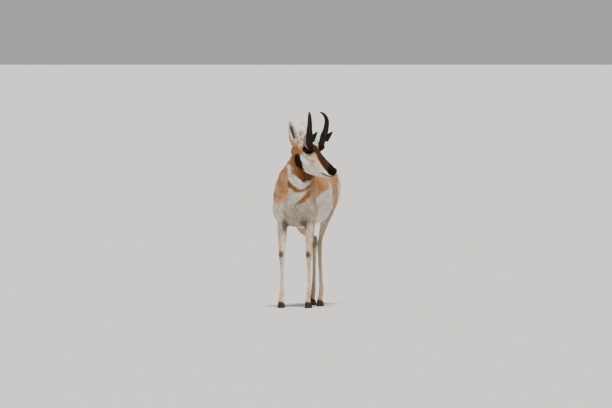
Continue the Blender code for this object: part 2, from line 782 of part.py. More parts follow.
def mouth_groove(tree):
    """Shallow slot that follows the lips from one corner round the front to the other."""
    corner = Vector((0.0, 0.236, -0.041))
    front = Vector((0.0, 0.312, -0.020))
    rings = []
    steps = 14
    for i in range(steps + 1):
        angle = -pi / 2 + pi * i / steps
        centre = corner.lerp(front, 0.30 + 0.25 * cos(angle))
        reach = Vector((0.060 * sin(angle), 0.066 * cos(angle) - 0.020, 0.0))
        slope = (front.z - corner.z) / (front.y - corner.y)
        outside = centre + reach
        outside.z = corner.z + slope * (outside.y - corner.y)
        skin = surface_spot(tree, in_head(outside), in_head(centre))
        out = (in_head(outside) - in_head(centre)).normalized()
        up = HEAD.col[2].to_3d()
        deep = 0.0050 if 0 < i < steps else 0.0020
        rings.append([
            skin - out * deep,
            skin + out * 0.004 - up * 0.0016,
            skin + out * 0.004 + up * 0.0016,
        ])
    bm = bmesh.new()
    loft(bm, rings)
    return mesh_object("mouth_groove", bm)


def nostril(side):
    """Comma-shaped hollow in the nose pad."""
    rings = []
    path = [(0.0120, 0.318, 0.008, 0.0030), (0.0190, 0.313, 0.010, 0.0050),
            (0.0265, 0.300, 0.014, 0.0042), (0.0300, 0.288, 0.020, 0.0018)]
    for x, forward, up, radius in path:
        centre = in_head(mirrored((x, forward, up), side))
        forward, up = HEAD.col[1].to_3d(), HEAD.col[2].to_3d()
        rings.append(section(centre, forward, up, radius * 1.4, radius, radius, 2.0, 8))
    bm = bmesh.new()
    loft(bm, rings)
    return mesh_object("nostril_" + str(side), bm)


# Materials
def material(name, colour, roughness):
    made = bpy.data.materials.new(name)
    made.use_nodes = True
    shader = made.node_tree.nodes["Principled BSDF"]
    shader.inputs["Base Color"].default_value = (*colour, 1.0)
    shader.inputs["Roughness"].default_value = roughness
    made.diffuse_color = (*colour, 1.0)
    return made


def clear_scene():
    for item in list(bpy.data.objects):
        bpy.data.objects.remove(item)


def build_head():
    """Head, ears and horns, parted by thin cuts."""
    head = blended("head_whole", head_form(), HEAD_VOXEL, HEAD_SMOOTH, HEAD_TRIANGLES)
    tree = skin_tree(head)
    cutters = [mouth_groove(tree)]
    for name, side in SIDES:
        cutters.append(eyeball("socket_" + name, side, EYE_R + GAP))
        cutters.append(lid_opening(side))
        cutters.append(nostril(side))
        cutters.append(horn("horn_socket_" + name, side, GAP))
    combine(head, cutters, "DIFFERENCE")
    unite(head, [ear(side, *EAR_POSES[side]) for name, side in SIDES] + mane_locks(tree))
    seeds = {"head": in_head((0, 0.13, 0.0)), "scrap": Vector((0.01, -0.06, 0.82))}
    plates = [cutting_plate(*NECK_CUT)]
    for name, side in SIDES:
        root = in_head(mirrored(EAR_ROOT, side))
        lean = EAR_POSES[side][0].normalized()
        plates.append(cutting_plate(root + lean * 0.030, lean, 0.045))
        seeds["ear_" + name] = root + lean * 0.55 * EAR_LENGTH
    combine(head, plates, "DIFFERENCE")
    return named_pieces(head, seeds)


def build_body():
    """Torso, neck, tail and the lengths of each leg, parted by thin cuts."""
    body = blended("body_whole", body_form(), BODY_VOXEL, BODY_SMOOTH, BODY_TRIANGLES)
    tree = skin_tree(body)
    unite(body, mane_locks(tree) + rear_locks(tree))
    seeds = {
        "torso": (0, 0.33, 0.69), "neck": (0.02, -0.07, 0.87),
        "scrap": (0.05, -0.08, 0.95), "tail": (0, 0.78, 0.73),
    }
    plates = [cutting_plate(*cut) for cut in (NECK_CUT, CHEST_CUT, TAIL_CUT)]
    for name, side in SIDES:
        x = side * FORE_X
        plates.append(cutting_plate((x, 0.010, 0.494), UP, 0.065))
        plates.append(cutting_plate((x, -0.002, 0.300), UP, 0.040))
        seeds["fore_leg_" + name] = (x, 0.0, 0.40)
        seeds["fore_shank_" + name] = (x, 0.0, 0.17)
        part, tilt = GASKIN_CUTS[side]
        gaskin = blend(STIFLES[side], HOCKS[side], part) + Vector((0, 0.02, 0))
        plates.append(cutting_plate(gaskin, (0, tilt, 1), 0.085))
        hock = Vector(HOCKS[side])
        plates.append(cutting_plate(hock + Vector((0, 0, -0.045)), UP, 0.045))
        foot_x, foot_y = HIND_FEET[side]
        seeds["hind_leg_" + name] = (Vector(STIFLES[side]) + hock) / 2
        seeds["hind_shank_" + name] = (foot_x, foot_y, 0.19)
        for place, spot in (("fore", (x, 0.0)), ("hind", (foot_x, foot_y))):
            centre = Vector((spot[0], spot[1], 0.0)) + CORONET
            plates.append(cutting_plate(centre, CORONET_UP, 0.040))
            seeds["end_" + place + name] = (spot[0], spot[1] - 0.03, 0.025)
    combine(body, plates, "DIFFERENCE")
    return named_pieces(body, seeds)


def build():
    clear_scene()
    materials = {
        "coat": material("coat", (0.50, 0.30, 0.16), 0.9),
        "horn": material("horn", (0.03, 0.027, 0.025), 0.45),
        "hoof": material("hoof", (0.035, 0.03, 0.028), 0.5),
        "eye": material("eye", (0.012, 0.009, 0.008), 0.08),
        "rump": material("rump", (0.72, 0.68, 0.62), 0.9),
    }
    pieces = {}
    pieces.update(build_body())
    for name in [key for key in pieces if key.startswith(("end_", "scrap"))]:
        bpy.data.objects.remove(pieces.pop(name))
    pieces.update(build_head())
    bpy.data.objects.remove(pieces.pop("scrap"))
    for name, side in SIDES:
        pieces["eye_" + name] = eyeball("eye_" + name, side, EYE_R)
        pieces["horn_" + name] = horn("horn_" + name, side)
        spots = {"fore": (side * FORE_X, 0.0), "hind": HIND_FEET[side]}
        for place, spot in spots.items():
            for half_name, half in (("outer", side), ("inner", -side)):
                key = place + "_hoof_" + name + "_" + half_name
                pieces[key] = claw(key, spot[0], spot[1], half)
    collection = bpy.data.collections.new("pronghorn")
    bpy.context.scene.collection.children.link(collection)
    low = Vector([min(v.co[i] for p in pieces.values() for v in p.data.vertices) for i in range(3)])
    high = Vector([max(v.co[i] for p in pieces.values() for v in p.data.vertices) for i in range(3)])
    shift = Vector((-(low.x + high.x) / 2, -(low.y + high.y) / 2, -low.z))
    for name, piece in pieces.items():
        piece.data.transform(Matrix.Translation(shift))
        kind = "coat"
        for key in ("horn", "hoof", "eye"):
            if key in name:
                kind = key
        if name == "tail":
            kind = "rump"
        piece.data.materials.clear()
        piece.data.materials.append(materials[kind])
        for polygon in piece.data.polygons:
            polygon.use_smooth = kind != "hoof"
        bpy.context.scene.collection.objects.unlink(piece)
        collection.objects.link(piece)


build()
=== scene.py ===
"""Pronghorn buck: skin, coat, face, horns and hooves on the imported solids, in a pale studio.

Metres, +Z up. Everything is modelled in the stance frame of the part, whose origin is the
floor midway between the fore feet, with the animal facing -Y and its left side on +X. Each
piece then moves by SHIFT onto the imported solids.
"""

import bmesh
import bpy
import numpy as np
from math import cos, pi, radians, sin
from mathutils import Matrix, Vector
from mathutils.bvhtree import BVHTree


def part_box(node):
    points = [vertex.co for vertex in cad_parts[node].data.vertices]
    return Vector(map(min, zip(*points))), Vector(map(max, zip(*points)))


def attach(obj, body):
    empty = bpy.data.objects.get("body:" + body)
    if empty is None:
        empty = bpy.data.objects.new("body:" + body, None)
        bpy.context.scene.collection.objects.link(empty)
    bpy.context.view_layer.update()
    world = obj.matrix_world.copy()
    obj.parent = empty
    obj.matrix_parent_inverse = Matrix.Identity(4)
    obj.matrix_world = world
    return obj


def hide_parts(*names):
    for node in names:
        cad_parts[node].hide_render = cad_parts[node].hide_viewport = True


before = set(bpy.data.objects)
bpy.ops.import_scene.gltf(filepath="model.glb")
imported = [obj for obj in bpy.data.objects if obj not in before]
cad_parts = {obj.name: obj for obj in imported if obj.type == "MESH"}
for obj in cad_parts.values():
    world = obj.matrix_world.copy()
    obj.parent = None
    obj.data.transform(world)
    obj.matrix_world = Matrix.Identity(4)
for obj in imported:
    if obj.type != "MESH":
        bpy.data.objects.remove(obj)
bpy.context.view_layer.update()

# Driving sizes, the same as the part's
WITHERS_Z = 0.872          # top of the back over the fore legs
CROUP_Z = 0.850            # top of the rump
BRISKET_Z = 0.502          # lowest point of the chest
GAP = 0.0003               # left between nodes that meet
POLL = Vector((0.054, -0.080, 1.000))   # where the skull meets the neck
HEAD_TURN = 68.0           # degrees to its left, from straight ahead
HEAD_PITCH = 30.0          # degrees that the muzzle points down
EYE = Vector((0.047, 0.088, 0.037))     # left eye in the head's own frame
EYE_R = 0.0225
LID = 0.0035               # thickness of the lids
HORN_FOOT = Vector((0.056, 0.099, 0.070))
HORN_RISE = 0.215          # from the foot of a horn to its tip
EAR_ROOT = Vector((0.052, -0.014, 0.030))
EAR_LENGTH = 0.150
EAR_WALL = 0.0042
FORE_X = 0.088             # from the middle to each fore foot
STIFLES = {1: (0.079, 0.405, 0.600), -1: (-0.120, 0.425, 0.543)}
HOCKS = {1: (0.018, 0.468, 0.392), -1: (-0.079, 0.694, 0.398)}
HIND_FEET = {1: (0.033, 0.448), -1: (-0.084, 0.676)}
NECK = [
    # x, y, z, half width, towards the throat, towards the nape, turn in degrees
    (0.000, 0.015, 0.705, 0.110, 0.110, 0.130, 0),
    (0.001, -0.022, 0.775, 0.112, 0.090, 0.105, 2),
    (0.006, -0.050, 0.832, 0.099, 0.080, 0.082, 8),
    (0.019, -0.069, 0.880, 0.066, 0.072, 0.060, 20),
    (0.034, -0.078, 0.921, 0.051, 0.066, 0.048, 36),
    (0.046, -0.081, 0.956, 0.046, 0.062, 0.043, 53),
    (0.056, -0.082, 0.985, 0.042, 0.058, 0.039, 68),
]
LID_WIDE = 0.0200          # half width and half height of the opening between the lids
LID_TALL = 0.0135
SIDES = (("left", 1), ("right", -1))
BOTH = (1, -1)

# Skin and coat
BALL_DETAIL = 3            # how often the faces of a rounded form are split
BODY_SKIN_VOXEL = 0.0065
BODY_SKIN_SMOOTH = 15
HEAD_SKIN_VOXEL = 0.0024
HEAD_SKIN_SMOOTH = 14
HEAD_SKIN_REACH = 0.030    # how far the head's skin goes down the neck below the cut
# painted shade: the skin gets the hair's markings drawn darker, as the shade between the tufts
SKIN_SHADE = 0.84          # brightness of the skin's markings beside the hair's
SOCKET_MESH = (32, 20)     # faces round and along a ball
EYE_MESH = (48, 32)
COAT_TUFTS = 130000        # tried; those on eyes, lips, nostrils and horn feet are left out
TUFTS_A_PIECE = 19000
TUFT_STRAY = 0.16          # scatter of the way that the hair lies
TUFT_LENGTHS = (0.75, 1.25)     # shares of the coat's own length, width and depth
TUFT_WIDTHS = (0.75, 1.30)
TUFT_LIFTS = (0.38, 0.85)
TUFT_BULGE = 0.62          # part of a half wave that a tuft's back follows
TUFT_ROUND = 0.70          # how far a tuft's sides turn away from the skin's own facing
ROOT_SINK = 0.0010         # how deep a root stands in the skin
# painted shade: each tuft is coloured darker at its root, brightening to its tip
ROOT_SHADE = 0.74          # brightness of a root beside its tip
HALF_WAY = 0.5             # part of a tuft's length at which its marking is read
PATCH = 0.003              # size of a tuft's own place in the UV map
MANE_HAIRS = 2600
MANE_LOWEST = 2.1          # neck stations between which the mane stands
MANE_TOP = 5.1
MANE_LENGTHS = (0.034, 0.056)
MANE_WIDTHS = (0.0011, 0.0019)
MANE_LIFTS = (0.004, 0.010)
MANE_FAN = 15.0            # degrees to each side that the mane's roots scatter
MANE_REACH = 0.13          # from the middle of the neck, beyond which no root may lie
LASHES = 46
LASH_LENGTHS = (0.010, 0.015)
LASH_WIDTH = 0.00055
SHEATH_GROW = 0.0016       # the horn's sheath over the solid
SHEATH_VOXEL = 0.0018
SHEATH_SMOOTH = 8

# Camera and light
LENS = 600.0
SENSOR = 36.0
FRAME_WIDTH = 3.825        # metres across the picture at the animal
VIEW_TILT = 1.0            # degrees that the camera looks down
AIM = (0.0656, 0.650)      # middle of the picture: to the right, and up
SUN_STRENGTH = 4.9
SUN_WIDTH = 12.0           # degrees
SUN_COLOUR = (1.0, 0.95, 0.88)
SUN_FROM = (0.22, -0.55, 0.95)
WORLD_STRENGTH = 0.48
WORLD_COLOUR = (0.86, 0.87, 0.90, 1.0)
FLOOR_RADIUS = 400.0
FLOOR_DROP = 0.0005        # the floor lies this far under the hooves

# Darkest and palest tones of the plain materials
HORN_TONES = ((0.003, 0.0025, 0.0022), (0.022, 0.017, 0.014))
HOOF_TONES = ((0.015, 0.012, 0.010), (0.085, 0.066, 0.050))
EYE_TONES = ((0.003, 0.002, 0.0015), (0.014, 0.008, 0.005))
FLOOR_TONES = ((0.70, 0.69, 0.67), (0.76, 0.75, 0.73))


# Frames
def level_ways(degrees):
    """Forward and left, level with the floor, after a turn to the animal's left."""
    turn = radians(degrees)
    return Vector((sin(turn), -cos(turn), 0.0)), Vector((cos(turn), sin(turn), 0.0))


HEAD_LEVEL, HEAD_LEFT = level_ways(HEAD_TURN)


def head_frame():
    """Matrix from the head's own frame (left, forward, up) to the world."""
    pitch = radians(HEAD_PITCH)
    forward = HEAD_LEVEL * cos(pitch) - Vector((0, 0, sin(pitch)))
    up = HEAD_LEVEL * sin(pitch) + Vector((0, 0, cos(pitch)))
    matrix = Matrix((HEAD_LEFT, forward, up)).transposed().to_4x4()
    matrix.translation = POLL
    return matrix


HEAD = head_frame()
HEAD_ACROSS, HEAD_FORWARD, HEAD_UP = (HEAD.col[i].to_3d() for i in range(3))
EAR_POSES = {
    1: (Vector((0, 0, 0.135)) + HEAD_LEFT * 0.030 - HEAD_LEVEL * 0.050,
        HEAD_LEFT * 0.9 - HEAD_LEVEL * 0.15),
    -1: (Vector((0, 0, 0.150)) - HEAD_LEFT * 0.048 - HEAD_LEVEL * 0.012,
         HEAD_LEVEL * 0.62 - HEAD_LEFT * 0.78),
}
NECK_CUT = Vector((0.030, -0.074, 0.891))     # where the head's skin and the body's meet
NECK_CUT_WAY = (HEAD_LEVEL * 0.57 + Vector((0, 0, 0.82))).normalized()


def in_head(point, side=1):
    """World place of a point of the head's own frame, mirrored for the right side."""
    return HEAD @ Vector((point[0] * side, point[1], point[2]))


def square_to(way, axis):
    """The part of a way that is square to an axis, at length 1."""
    return (way - axis * way.dot(axis)).normalized()


def way_at(points, i):
    """Way along a line of points, at one of them."""
    return (points[min(i + 1, len(points) - 1)] - points[max(i - 1, 0)]).normalized()


EYE_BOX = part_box("eye_left")
SHIFT = (Vector(EYE_BOX[0]) + Vector(EYE_BOX[1])) / 2 - in_head(EYE)


# Forms, the same as the part's
def section(centre, across, up, half_width, above, below, power=2.2, count=24):
    """Closed ring round a centre: a superellipse with its own height above and below."""
    ring = []
    for i in range(count):
        angle = 2 * pi * i / count
        c = cos(angle)
        s = sin(angle)
        x = half_width * abs(c) ** (2 / power) * (1 if c >= 0 else -1)
        height = above if s >= 0 else below
        z = height * abs(s) ** (2 / power) * (1 if s >= 0 else -1)
        ring.append(centre + across * x + up * z)
    return ring


def loft(bm, rings):
    """Closed skin through rings that have as many points each."""
    rows = [[bm.verts.new(point) for point in ring] for ring in rings]
    count = len(rows[0])
    for low, high in zip(rows, rows[1:]):
        for i in range(count):
            j = (i + 1) % count
            bm.faces.new((low[i], low[j], high[j], high[i]))
    bm.faces.new(tuple(reversed(rows[0])))
    bm.faces.new(rows[-1])


def ball(bm, centre, radii, axes=None):
    """Ellipsoid with its radii along three axes."""
    spin = Matrix((axes[0], axes[1], axes[2])).transposed().to_4x4() if axes else Matrix()
    size = Matrix.Diagonal((radii[0], radii[1], radii[2], 1.0))
    place = Matrix.Translation(centre) @ spin @ size
    bmesh.ops.create_icosphere(bm, subdivisions=BALL_DETAIL, radius=1.0, matrix=place)


def muscle(bm, start, end, thick, deep):
    """Ellipsoid from start to end; `thick` runs sideways and `deep` across that."""
    start = Vector(start)
    end = Vector(end)
    along = (end - start).normalized()
    sideways = square_to(Vector((1, 0, 0)), along)
    radii = ((end - start).length / 2, thick, deep)
    ball(bm, (start + end) / 2, radii, (along, sideways, along.cross(sideways)))


def limb(bm, stations, count=16):
    """Loft down a leg through (x, y, z, half width, half depth) stations."""
    points = [Vector(s[:3]) for s in stations]
    rings = []
    for i, station in enumerate(stations):
        along = way_at(points, i)
        across = square_to(Vector((1, 0, 0)), along)
        half, deep = station[3:]
        rings.append(section(points[i], across, along.cross(across), half, deep, deep, 2.1, count))
    loft(bm, rings)


def torso_form(bm):
    """Trunk from the breast to the rump, through sections across it."""
    stations = [
        # y, top, bottom, half width, height of the widest place, power
        (-0.100, 0.725, 0.640, 0.040, 0.690, 2.0),
        (-0.085, 0.785, 0.580, 0.080, 0.680, 2.1),
        (-0.055, 0.835, 0.530, 0.108, 0.680, 2.2),
        (-0.010, WITHERS_Z - 0.006, 0.508, 0.124, 0.685, 2.3),
        (0.050, WITHERS_Z, BRISKET_Z, 0.134, 0.685, 2.3),
        (0.130, WITHERS_Z - 0.008, 0.500, 0.142, 0.680, 2.25),
        (0.220, 0.852, 0.503, 0.147, 0.675, 2.2),
        (0.310, 0.846, 0.512, 0.144, 0.675, 2.2),
        (0.390, 0.846, 0.528, 0.130, 0.685, 2.2),
        (0.460, 0.849, 0.550, 0.115, 0.700, 2.3),
        (0.530, CROUP_Z, 0.580, 0.110, 0.730, 2.5),
        (0.600, CROUP_Z - 0.004, 0.615, 0.108, 0.740, 2.6),
        (0.660, 0.828, 0.640, 0.095, 0.740, 2.5),
        (0.710, 0.796, 0.660, 0.072, 0.730, 2.3),
        (0.740, 0.765, 0.680, 0.045, 0.722, 2.0),
    ]
    across = Vector((1, 0, 0))
    up = Vector((0, 0, 1))
    rings = []
    for y, top, bottom, half, widest, power in stations:
        centre = Vector((0, y, widest))
        rings.append(section(centre, across, up, half, top - widest, widest - bottom, power, 32))
    loft(bm, rings)


def shoulder_form(bm, side):
    """Shoulder blade, upper arm and the muscle over the point of the shoulder."""
    muscle(bm, (side * 0.080, 0.065, 0.855), (side * 0.108, -0.050, 0.620), 0.042, 0.075)
    muscle(bm, (side * 0.100, -0.060, 0.690), (side * 0.105, 0.050, 0.540), 0.044, 0.062)
    muscle(bm, (side * 0.085, 0.075, 0.740), (side * 0.102, 0.040, 0.520), 0.040, 0.055)
    muscle(bm, (side * 0.050, -0.090, 0.720), (side * 0.060, -0.045, 0.540), 0.046, 0.040)


def hip_form(bm, side):
    """Hip bone, thigh and buttock, down to the stifle."""
    stifle = STIFLES[side]
    muscle(bm, (side * 0.060, 0.440, 0.818), (side * 0.084, 0.640, 0.780), 0.034, 0.046)
    muscle(bm, (side * 0.072, 0.650, 0.835), stifle, 0.038, 0.090)
    muscle(bm, (side * 0.052, 0.735, 0.810), (side * 0.058, 0.545, 0.600), 0.044, 0.058)
    muscle(bm, (side * 0.066, 0.500, 0.800), stifle, 0.040, 0.070)


def neck_axes(index):
    """Middle of a section of the neck, its way across and its way to the nape."""
    points = [Vector(station[:3]) for station in NECK]
    along = way_at(points, index)
    facing, left = level_ways(NECK[index][6])
    across = square_to(left, along)
    nape = along.cross(across)
    if nape.dot(facing) > 0:
        nape = -nape
    return points[index], across, nape


def neck_rings(first):
    """Rings square to the neck's own line, turned more and more to the left."""
    rings = []
    for index in range(first, len(NECK)):
        centre, across, nape = neck_axes(index)
        half, throat, back = NECK[index][3:6]
        rings.append(section(centre, across, nape, half, back, throat, 2.15, 24))
    return rings


def fore_stations(side):
    """Fore leg from inside the shoulder to the coronet."""
    x = side * FORE_X
    return [
        (x, 0.034, 0.600, 0.034, 0.056),
        (x + side * 0.002, 0.022, 0.545, 0.035, 0.050),
        (x + side * 0.001, 0.010, 0.490, 0.0330, 0.0400),
        (x, 0.003, 0.430, 0.0275, 0.0305),
        (x, -0.002, 0.375, 0.0222, 0.0230),
        (x, -0.006, 0.332, 0.0228, 0.0228),
        (x, -0.003, 0.296, 0.0178, 0.0185),
        (x, 0.001, 0.240, 0.0133, 0.0140),
        (x, 0.003, 0.160, 0.0128, 0.0138),
        (x, 0.001, 0.118, 0.0155, 0.0170),
        (x, -0.003, 0.093, 0.0178, 0.0195),
        (x, -0.014, 0.066, 0.0150, 0.0165),
        (x, -0.024, 0.044, 0.0192, 0.0215),
        (x, -0.031, 0.022, 0.0195, 0.0220),
    ]


def blend(start, end, part):
    """Place that is a part of the way from start to end."""
    return Vector(start).lerp(Vector(end), part)


def hind_stations(side):
    """Hind leg from inside the thigh, by stifle and hock, to the coronet."""
    stifle = Vector(STIFLES[side])
    hock = Vector(HOCKS[side])
    foot_x, foot_y = HIND_FEET[side]
    thigh = Vector((side * 0.074, 0.560, 0.700))
    upper = blend(stifle, hock, 0.30)
    middle = blend(stifle, hock, 0.58)
    lower = blend(stifle, hock, 0.82)
    shank = Vector((foot_x, foot_y + 0.012, 0.0))
    high_shank = blend(hock, shank, 0.35)
    low_shank = blend(hock, shank, 0.60)
    return [
        (*thigh, 0.038, 0.088),
        (*blend(thigh, stifle, 0.6), 0.038, 0.080),
        (stifle.x * 0.97, stifle.y + 0.030, stifle.z - 0.010, 0.036, 0.062),
        (upper.x, upper.y + 0.016, upper.z, 0.0300, 0.050),
        (middle.x, middle.y + 0.008, middle.z, 0.0210, 0.035),
        (lower.x, lower.y + 0.002, lower.z, 0.0142, 0.0245),
        (*hock, 0.0165, 0.0260),
        (hock.x + (foot_x - hock.x) * 0.2, hock.y - 0.006, 0.345, 0.0148, 0.0215),
        (high_shank.x, high_shank.y - 0.004, 0.290, 0.0136, 0.0170),
        (low_shank.x, low_shank.y - 0.002, 0.200, 0.0130, 0.0152),
        (foot_x, foot_y + 0.010, 0.118, 0.0152, 0.0172),
        (foot_x, foot_y + 0.006, 0.093, 0.0172, 0.0195),
        (foot_x, foot_y - 0.006, 0.066, 0.0148, 0.0165),
        (foot_x, foot_y - 0.016, 0.044, 0.0188, 0.0212),
        (foot_x, foot_y - 0.023, 0.022, 0.0190, 0.0215),
    ]


def hock_point_form(bm, side):
    """Heel bone and the tendon that runs up from it to the gaskin."""
    hock = Vector(HOCKS[side])
    tip = hock + Vector((0, 0.021, 0.025))
    muscle(bm, tip + Vector((0, 0.004, 0.020)), hock + Vector((0, 0.004, -0.040)), 0.0135, 0.0170)
    calf = blend(STIFLES[side], HOCKS[side], 0.45) + Vector((0, 0.040, 0.018))
    muscle(bm, calf, tip, 0.0090, 0.0120)


def tail_form(bm):
    """Short tail that hangs close to the rump."""
    stations = [
        (0.0, 0.700, 0.806, 0.022, 0.018),
        (0.0, 0.745, 0.794, 0.024, 0.018),
        (0.0, 0.780, 0.768, 0.027, 0.017),
        (0.0, 0.796, 0.730, 0.026, 0.015),
        (0.0, 0.798, 0.700, 0.017, 0.011),
        (0.0, 0.796, 0.680, 0.005, 0.004),
    ]
    limb(bm, stations, 12)


def body_form():
    """Trunk, neck, legs and tail as overlapping forms."""
    bm = bmesh.new()
    torso_form(bm)
    loft(bm, neck_rings(0))
    for side in BOTH:
        shoulder_form(bm, side)
        hip_form(bm, side)
        limb(bm, fore_stations(side))
        limb(bm, hind_stations(side))
        hock_point_form(bm, side)
    tail_form(bm)
    return bm


def head_form():
    """Skull, jaw, cheeks, brows and muzzle, with the top of the neck."""
    bm = bmesh.new()
    stations = [
        # forward, top, bottom, half width, height of the widest place
        (-0.044, 0.020, -0.050, 0.026, -0.015),
        (-0.020, 0.050, -0.072, 0.046, -0.010),
        (0.015, 0.068, -0.085, 0.054, 0.000),
        (0.055, 0.077, -0.098, 0.056, 0.005),
        (0.095, 0.074, -0.105, 0.052, 0.000),
        (0.130, 0.063, -0.106, 0.044, -0.010),
        (0.165, 0.053, -0.098, 0.037, -0.015),
        (0.205, 0.045, -0.083, 0.0325, -0.015),
        (0.245, 0.039, -0.067, 0.0305, -0.012),
        (0.280, 0.034, -0.055, 0.0290, -0.010),
        (0.302, 0.024, -0.044, 0.0250, -0.008),
        (0.316, 0.010, -0.028, 0.0150, -0.008),
    ]
    rings = []
    for forward, top, bottom, half, widest in stations:
        centre = in_head((0, forward, widest))
        above = top - widest
        below = widest - bottom
        rings.append(section(centre, HEAD_ACROSS, HEAD_UP, half, above, below, 2.25, 28))
    loft(bm, rings)
    axes = (HEAD_ACROSS, HEAD_FORWARD, HEAD_UP)
    for side in BOTH:
        ball(bm, in_head(EYE, side), (EYE_R + LID,) * 3, axes)
        for centre, radii in (
            ((0.040, 0.074, 0.046), (0.024, 0.036, 0.026)),      # brow
            ((0.050, 0.048, 0.026), (0.018, 0.040, 0.020)),      # temple
            ((0.040, 0.088, -0.048), (0.022, 0.050, 0.046)),     # cheek muscle
            ((0.040, 0.125, 0.005), (0.014, 0.045, 0.014)),      # cheek bone
            ((0.0215, 0.292, 0.010), (0.0125, 0.020, 0.018)),    # nostril wing
            ((0.0190, 0.268, -0.022), (0.0140, 0.036, 0.013)),   # upper lip
            ((0.0130, 0.268, -0.044), (0.0135, 0.030, 0.010)),   # lower lip
        ):
            ball(bm, in_head(centre, side), radii, axes)
        ball(bm, horn_foot(side) - Vector((0, 0, 0.004)), (0.0245, 0.0245, 0.022))
        ball(bm, puff_middle(side), (0.021, 0.021, 0.044))
    ball(bm, in_head((0, 0.302, 0.006)), (0.018, 0.016, 0.020), axes)
    loft(bm, neck_rings(1))
    return bm


def horn_foot(side):
    """Where a horn stands on the skull."""
    return in_head(HORN_FOOT, side)


def puff_middle(side):
    """Middle of the puff of hair behind a horn."""
    return horn_foot(side) - HEAD_LEVEL * 0.024 + Vector((0, 0, 0.034))


def horn_rings(side, rows, grow, front_up):
    """Rings of a horn through rows: part of the rise, outward, forward, half depth, half thickness."""
    foot = horn_foot(side)
    points = []
    for row in rows:
        rise, out, front = row[:3]
        level = HEAD_LEFT * (side * out) + HEAD_LEVEL * front
        points.append(foot + level + Vector((0, 0, rise * HORN_RISE)))
    rings = []
    for i, row in enumerate(rows):
        along = way_at(points, i)
        deep_way = square_to(Vector((0, 0, 1)) if front_up and i else HEAD_LEVEL, along)
        deep = row[3] + grow
        thick = row[4] + grow
        rings.append(section(points[i], deep_way, along.cross(deep_way), deep, thick, thick, 2.1, 12))
    return rings


def horn(name, side, grow):
    """Beam that rises, leans out and hooks in at the tip, with a prong to the front.

    With `grow` it is that much thicker than the solid.
    """
    beam_rows = [
        (0.025 - grow / HORN_RISE, 0.001, 0.000, 0.0215, 0.0168),
        (0.10, 0.004, 0.001, 0.0220, 0.0165),
        (0.26, 0.013, 0.008, 0.0230, 0.0155),
        (0.38, 0.020, 0.014, 0.0215, 0.0148),
        (0.47, 0.025, 0.018, 0.0175, 0.0145),
        (0.60, 0.029, 0.022, 0.0155, 0.0138),
        (0.74, 0.030, 0.024, 0.0132, 0.0122),
        (0.86, 0.0245, 0.019, 0.0108, 0.0098),
        (0.94, 0.015, 0.010, 0.0078, 0.0070),
        (0.985, 0.003, 0.000, 0.0045, 0.0040),
        (1.00, -0.004, -0.006, 0.0014, 0.0014),
    ]
    prong_rows = [
        (0.13, 0.008, 0.006, 0.0250, 0.0100),
        (0.21, 0.012, 0.028, 0.0225, 0.0095),
        (0.30, 0.016, 0.048, 0.0155, 0.0075),
        (0.38, 0.019, 0.065, 0.0082, 0.0050),
        (0.435, 0.021, 0.078, 0.0014, 0.0014),
    ]
    beam = lofted(name, horn_rings(side, beam_rows, grow, False))
    prong = lofted(name + "_prong", horn_rings(side, prong_rows, grow, True))
    return unite(beam, [prong])


def ear(side, lean, opening):
    """Leaf-shaped cup: a shell that is almost a tube at its root and opens upwards."""
    root = in_head(EAR_ROOT, side)
    along = lean.normalized()
    front = square_to(opening, along)
    across = along.cross(front)
    rings = []
    rows = 11
    for i in range(rows):
        part = i / (rows - 1)
        half_width = 0.0265 * sin(pi * min(1.0, 0.16 + 0.84 * part)) ** 0.62
        half_width = max(half_width, 0.0022)
        curl = radians(158 - 92 * part)
        radius = half_width / (1.0 if curl > pi / 2 else sin(curl))
        thick = min(EAR_WALL, half_width * 0.8) * (1 - 0.35 * part)
        centre = root + along * (EAR_LENGTH * part - 0.012) - front * (0.012 * sin(pi * part))
        outer = []
        inner = []
        for k in range(9):
            angle = -curl + 2 * curl * k / 8
            out = across * sin(angle) - front * cos(angle)
            outer.append(centre + out * radius)
            inner.append(centre + out * (radius - thick))
        rings.append(outer + inner[::-1])
    stem = []
    for way, radius in ((-0.020, 0.016), (0.020, 0.019)):
        stem.append(section(root + along * way, across, front, radius, radius, radius, 2.0, 12))
    leaf = lofted("ear_leaf_" + str(side), rings)
    return unite(leaf, [lofted("ear_stem_" + str(side), stem)])


def placed(name, data):
    """New object with this data, in the scene."""
    item = bpy.data.objects.new(name, data)
    bpy.context.scene.collection.objects.link(item)
    return item


def mesh_object(name, bm):
    """Object with the forms that were collected, all facing outwards."""
    bmesh.ops.recalc_face_normals(bm, faces=bm.faces[:])
    mesh = bpy.data.meshes.new(name)
    bm.to_mesh(mesh)
    bm.free()
    return placed(name, mesh)


def lofted(name, rings):
    """Object with a closed skin through rings."""
    bm = bmesh.new()
    loft(bm, rings)
    return mesh_object(name, bm)


def form_of(item):
    """An object's mesh, open for editing."""
    bm = bmesh.new()
    bm.from_mesh(item.data)
    return bm


def evaluated_copy(item):
    """Puts what an object's modifiers make into its own mesh."""
    bpy.context.view_layer.update()
    depsgraph = bpy.context.evaluated_depsgraph_get()
    mesh = bpy.data.meshes.new_from_object(item.evaluated_get(depsgraph), depsgraph=depsgraph)
    item.modifiers.clear()
    item.data = mesh


def combine(item, others, operation):
    """One Boolean on a collection of closed mesh objects, which are then removed."""
    group = bpy.data.collections.new("boolean_pieces")
    bpy.context.scene.collection.children.link(group)
    for other in others:
        bpy.context.scene.collection.objects.unlink(other)
        group.objects.link(other)
    boolean = item.modifiers.new("join", "BOOLEAN")
    boolean.operation = operation
    boolean.operand_type = "COLLECTION"
    boolean.collection = group
    boolean.solver = "MANIFOLD"
    evaluated_copy(item)
    for other in others:
        bpy.data.objects.remove(other)
    bpy.data.collections.remove(group)
    return item


def unite(item, others):
    """Joins closed mesh objects into one."""
    return combine(item, others, "UNION")


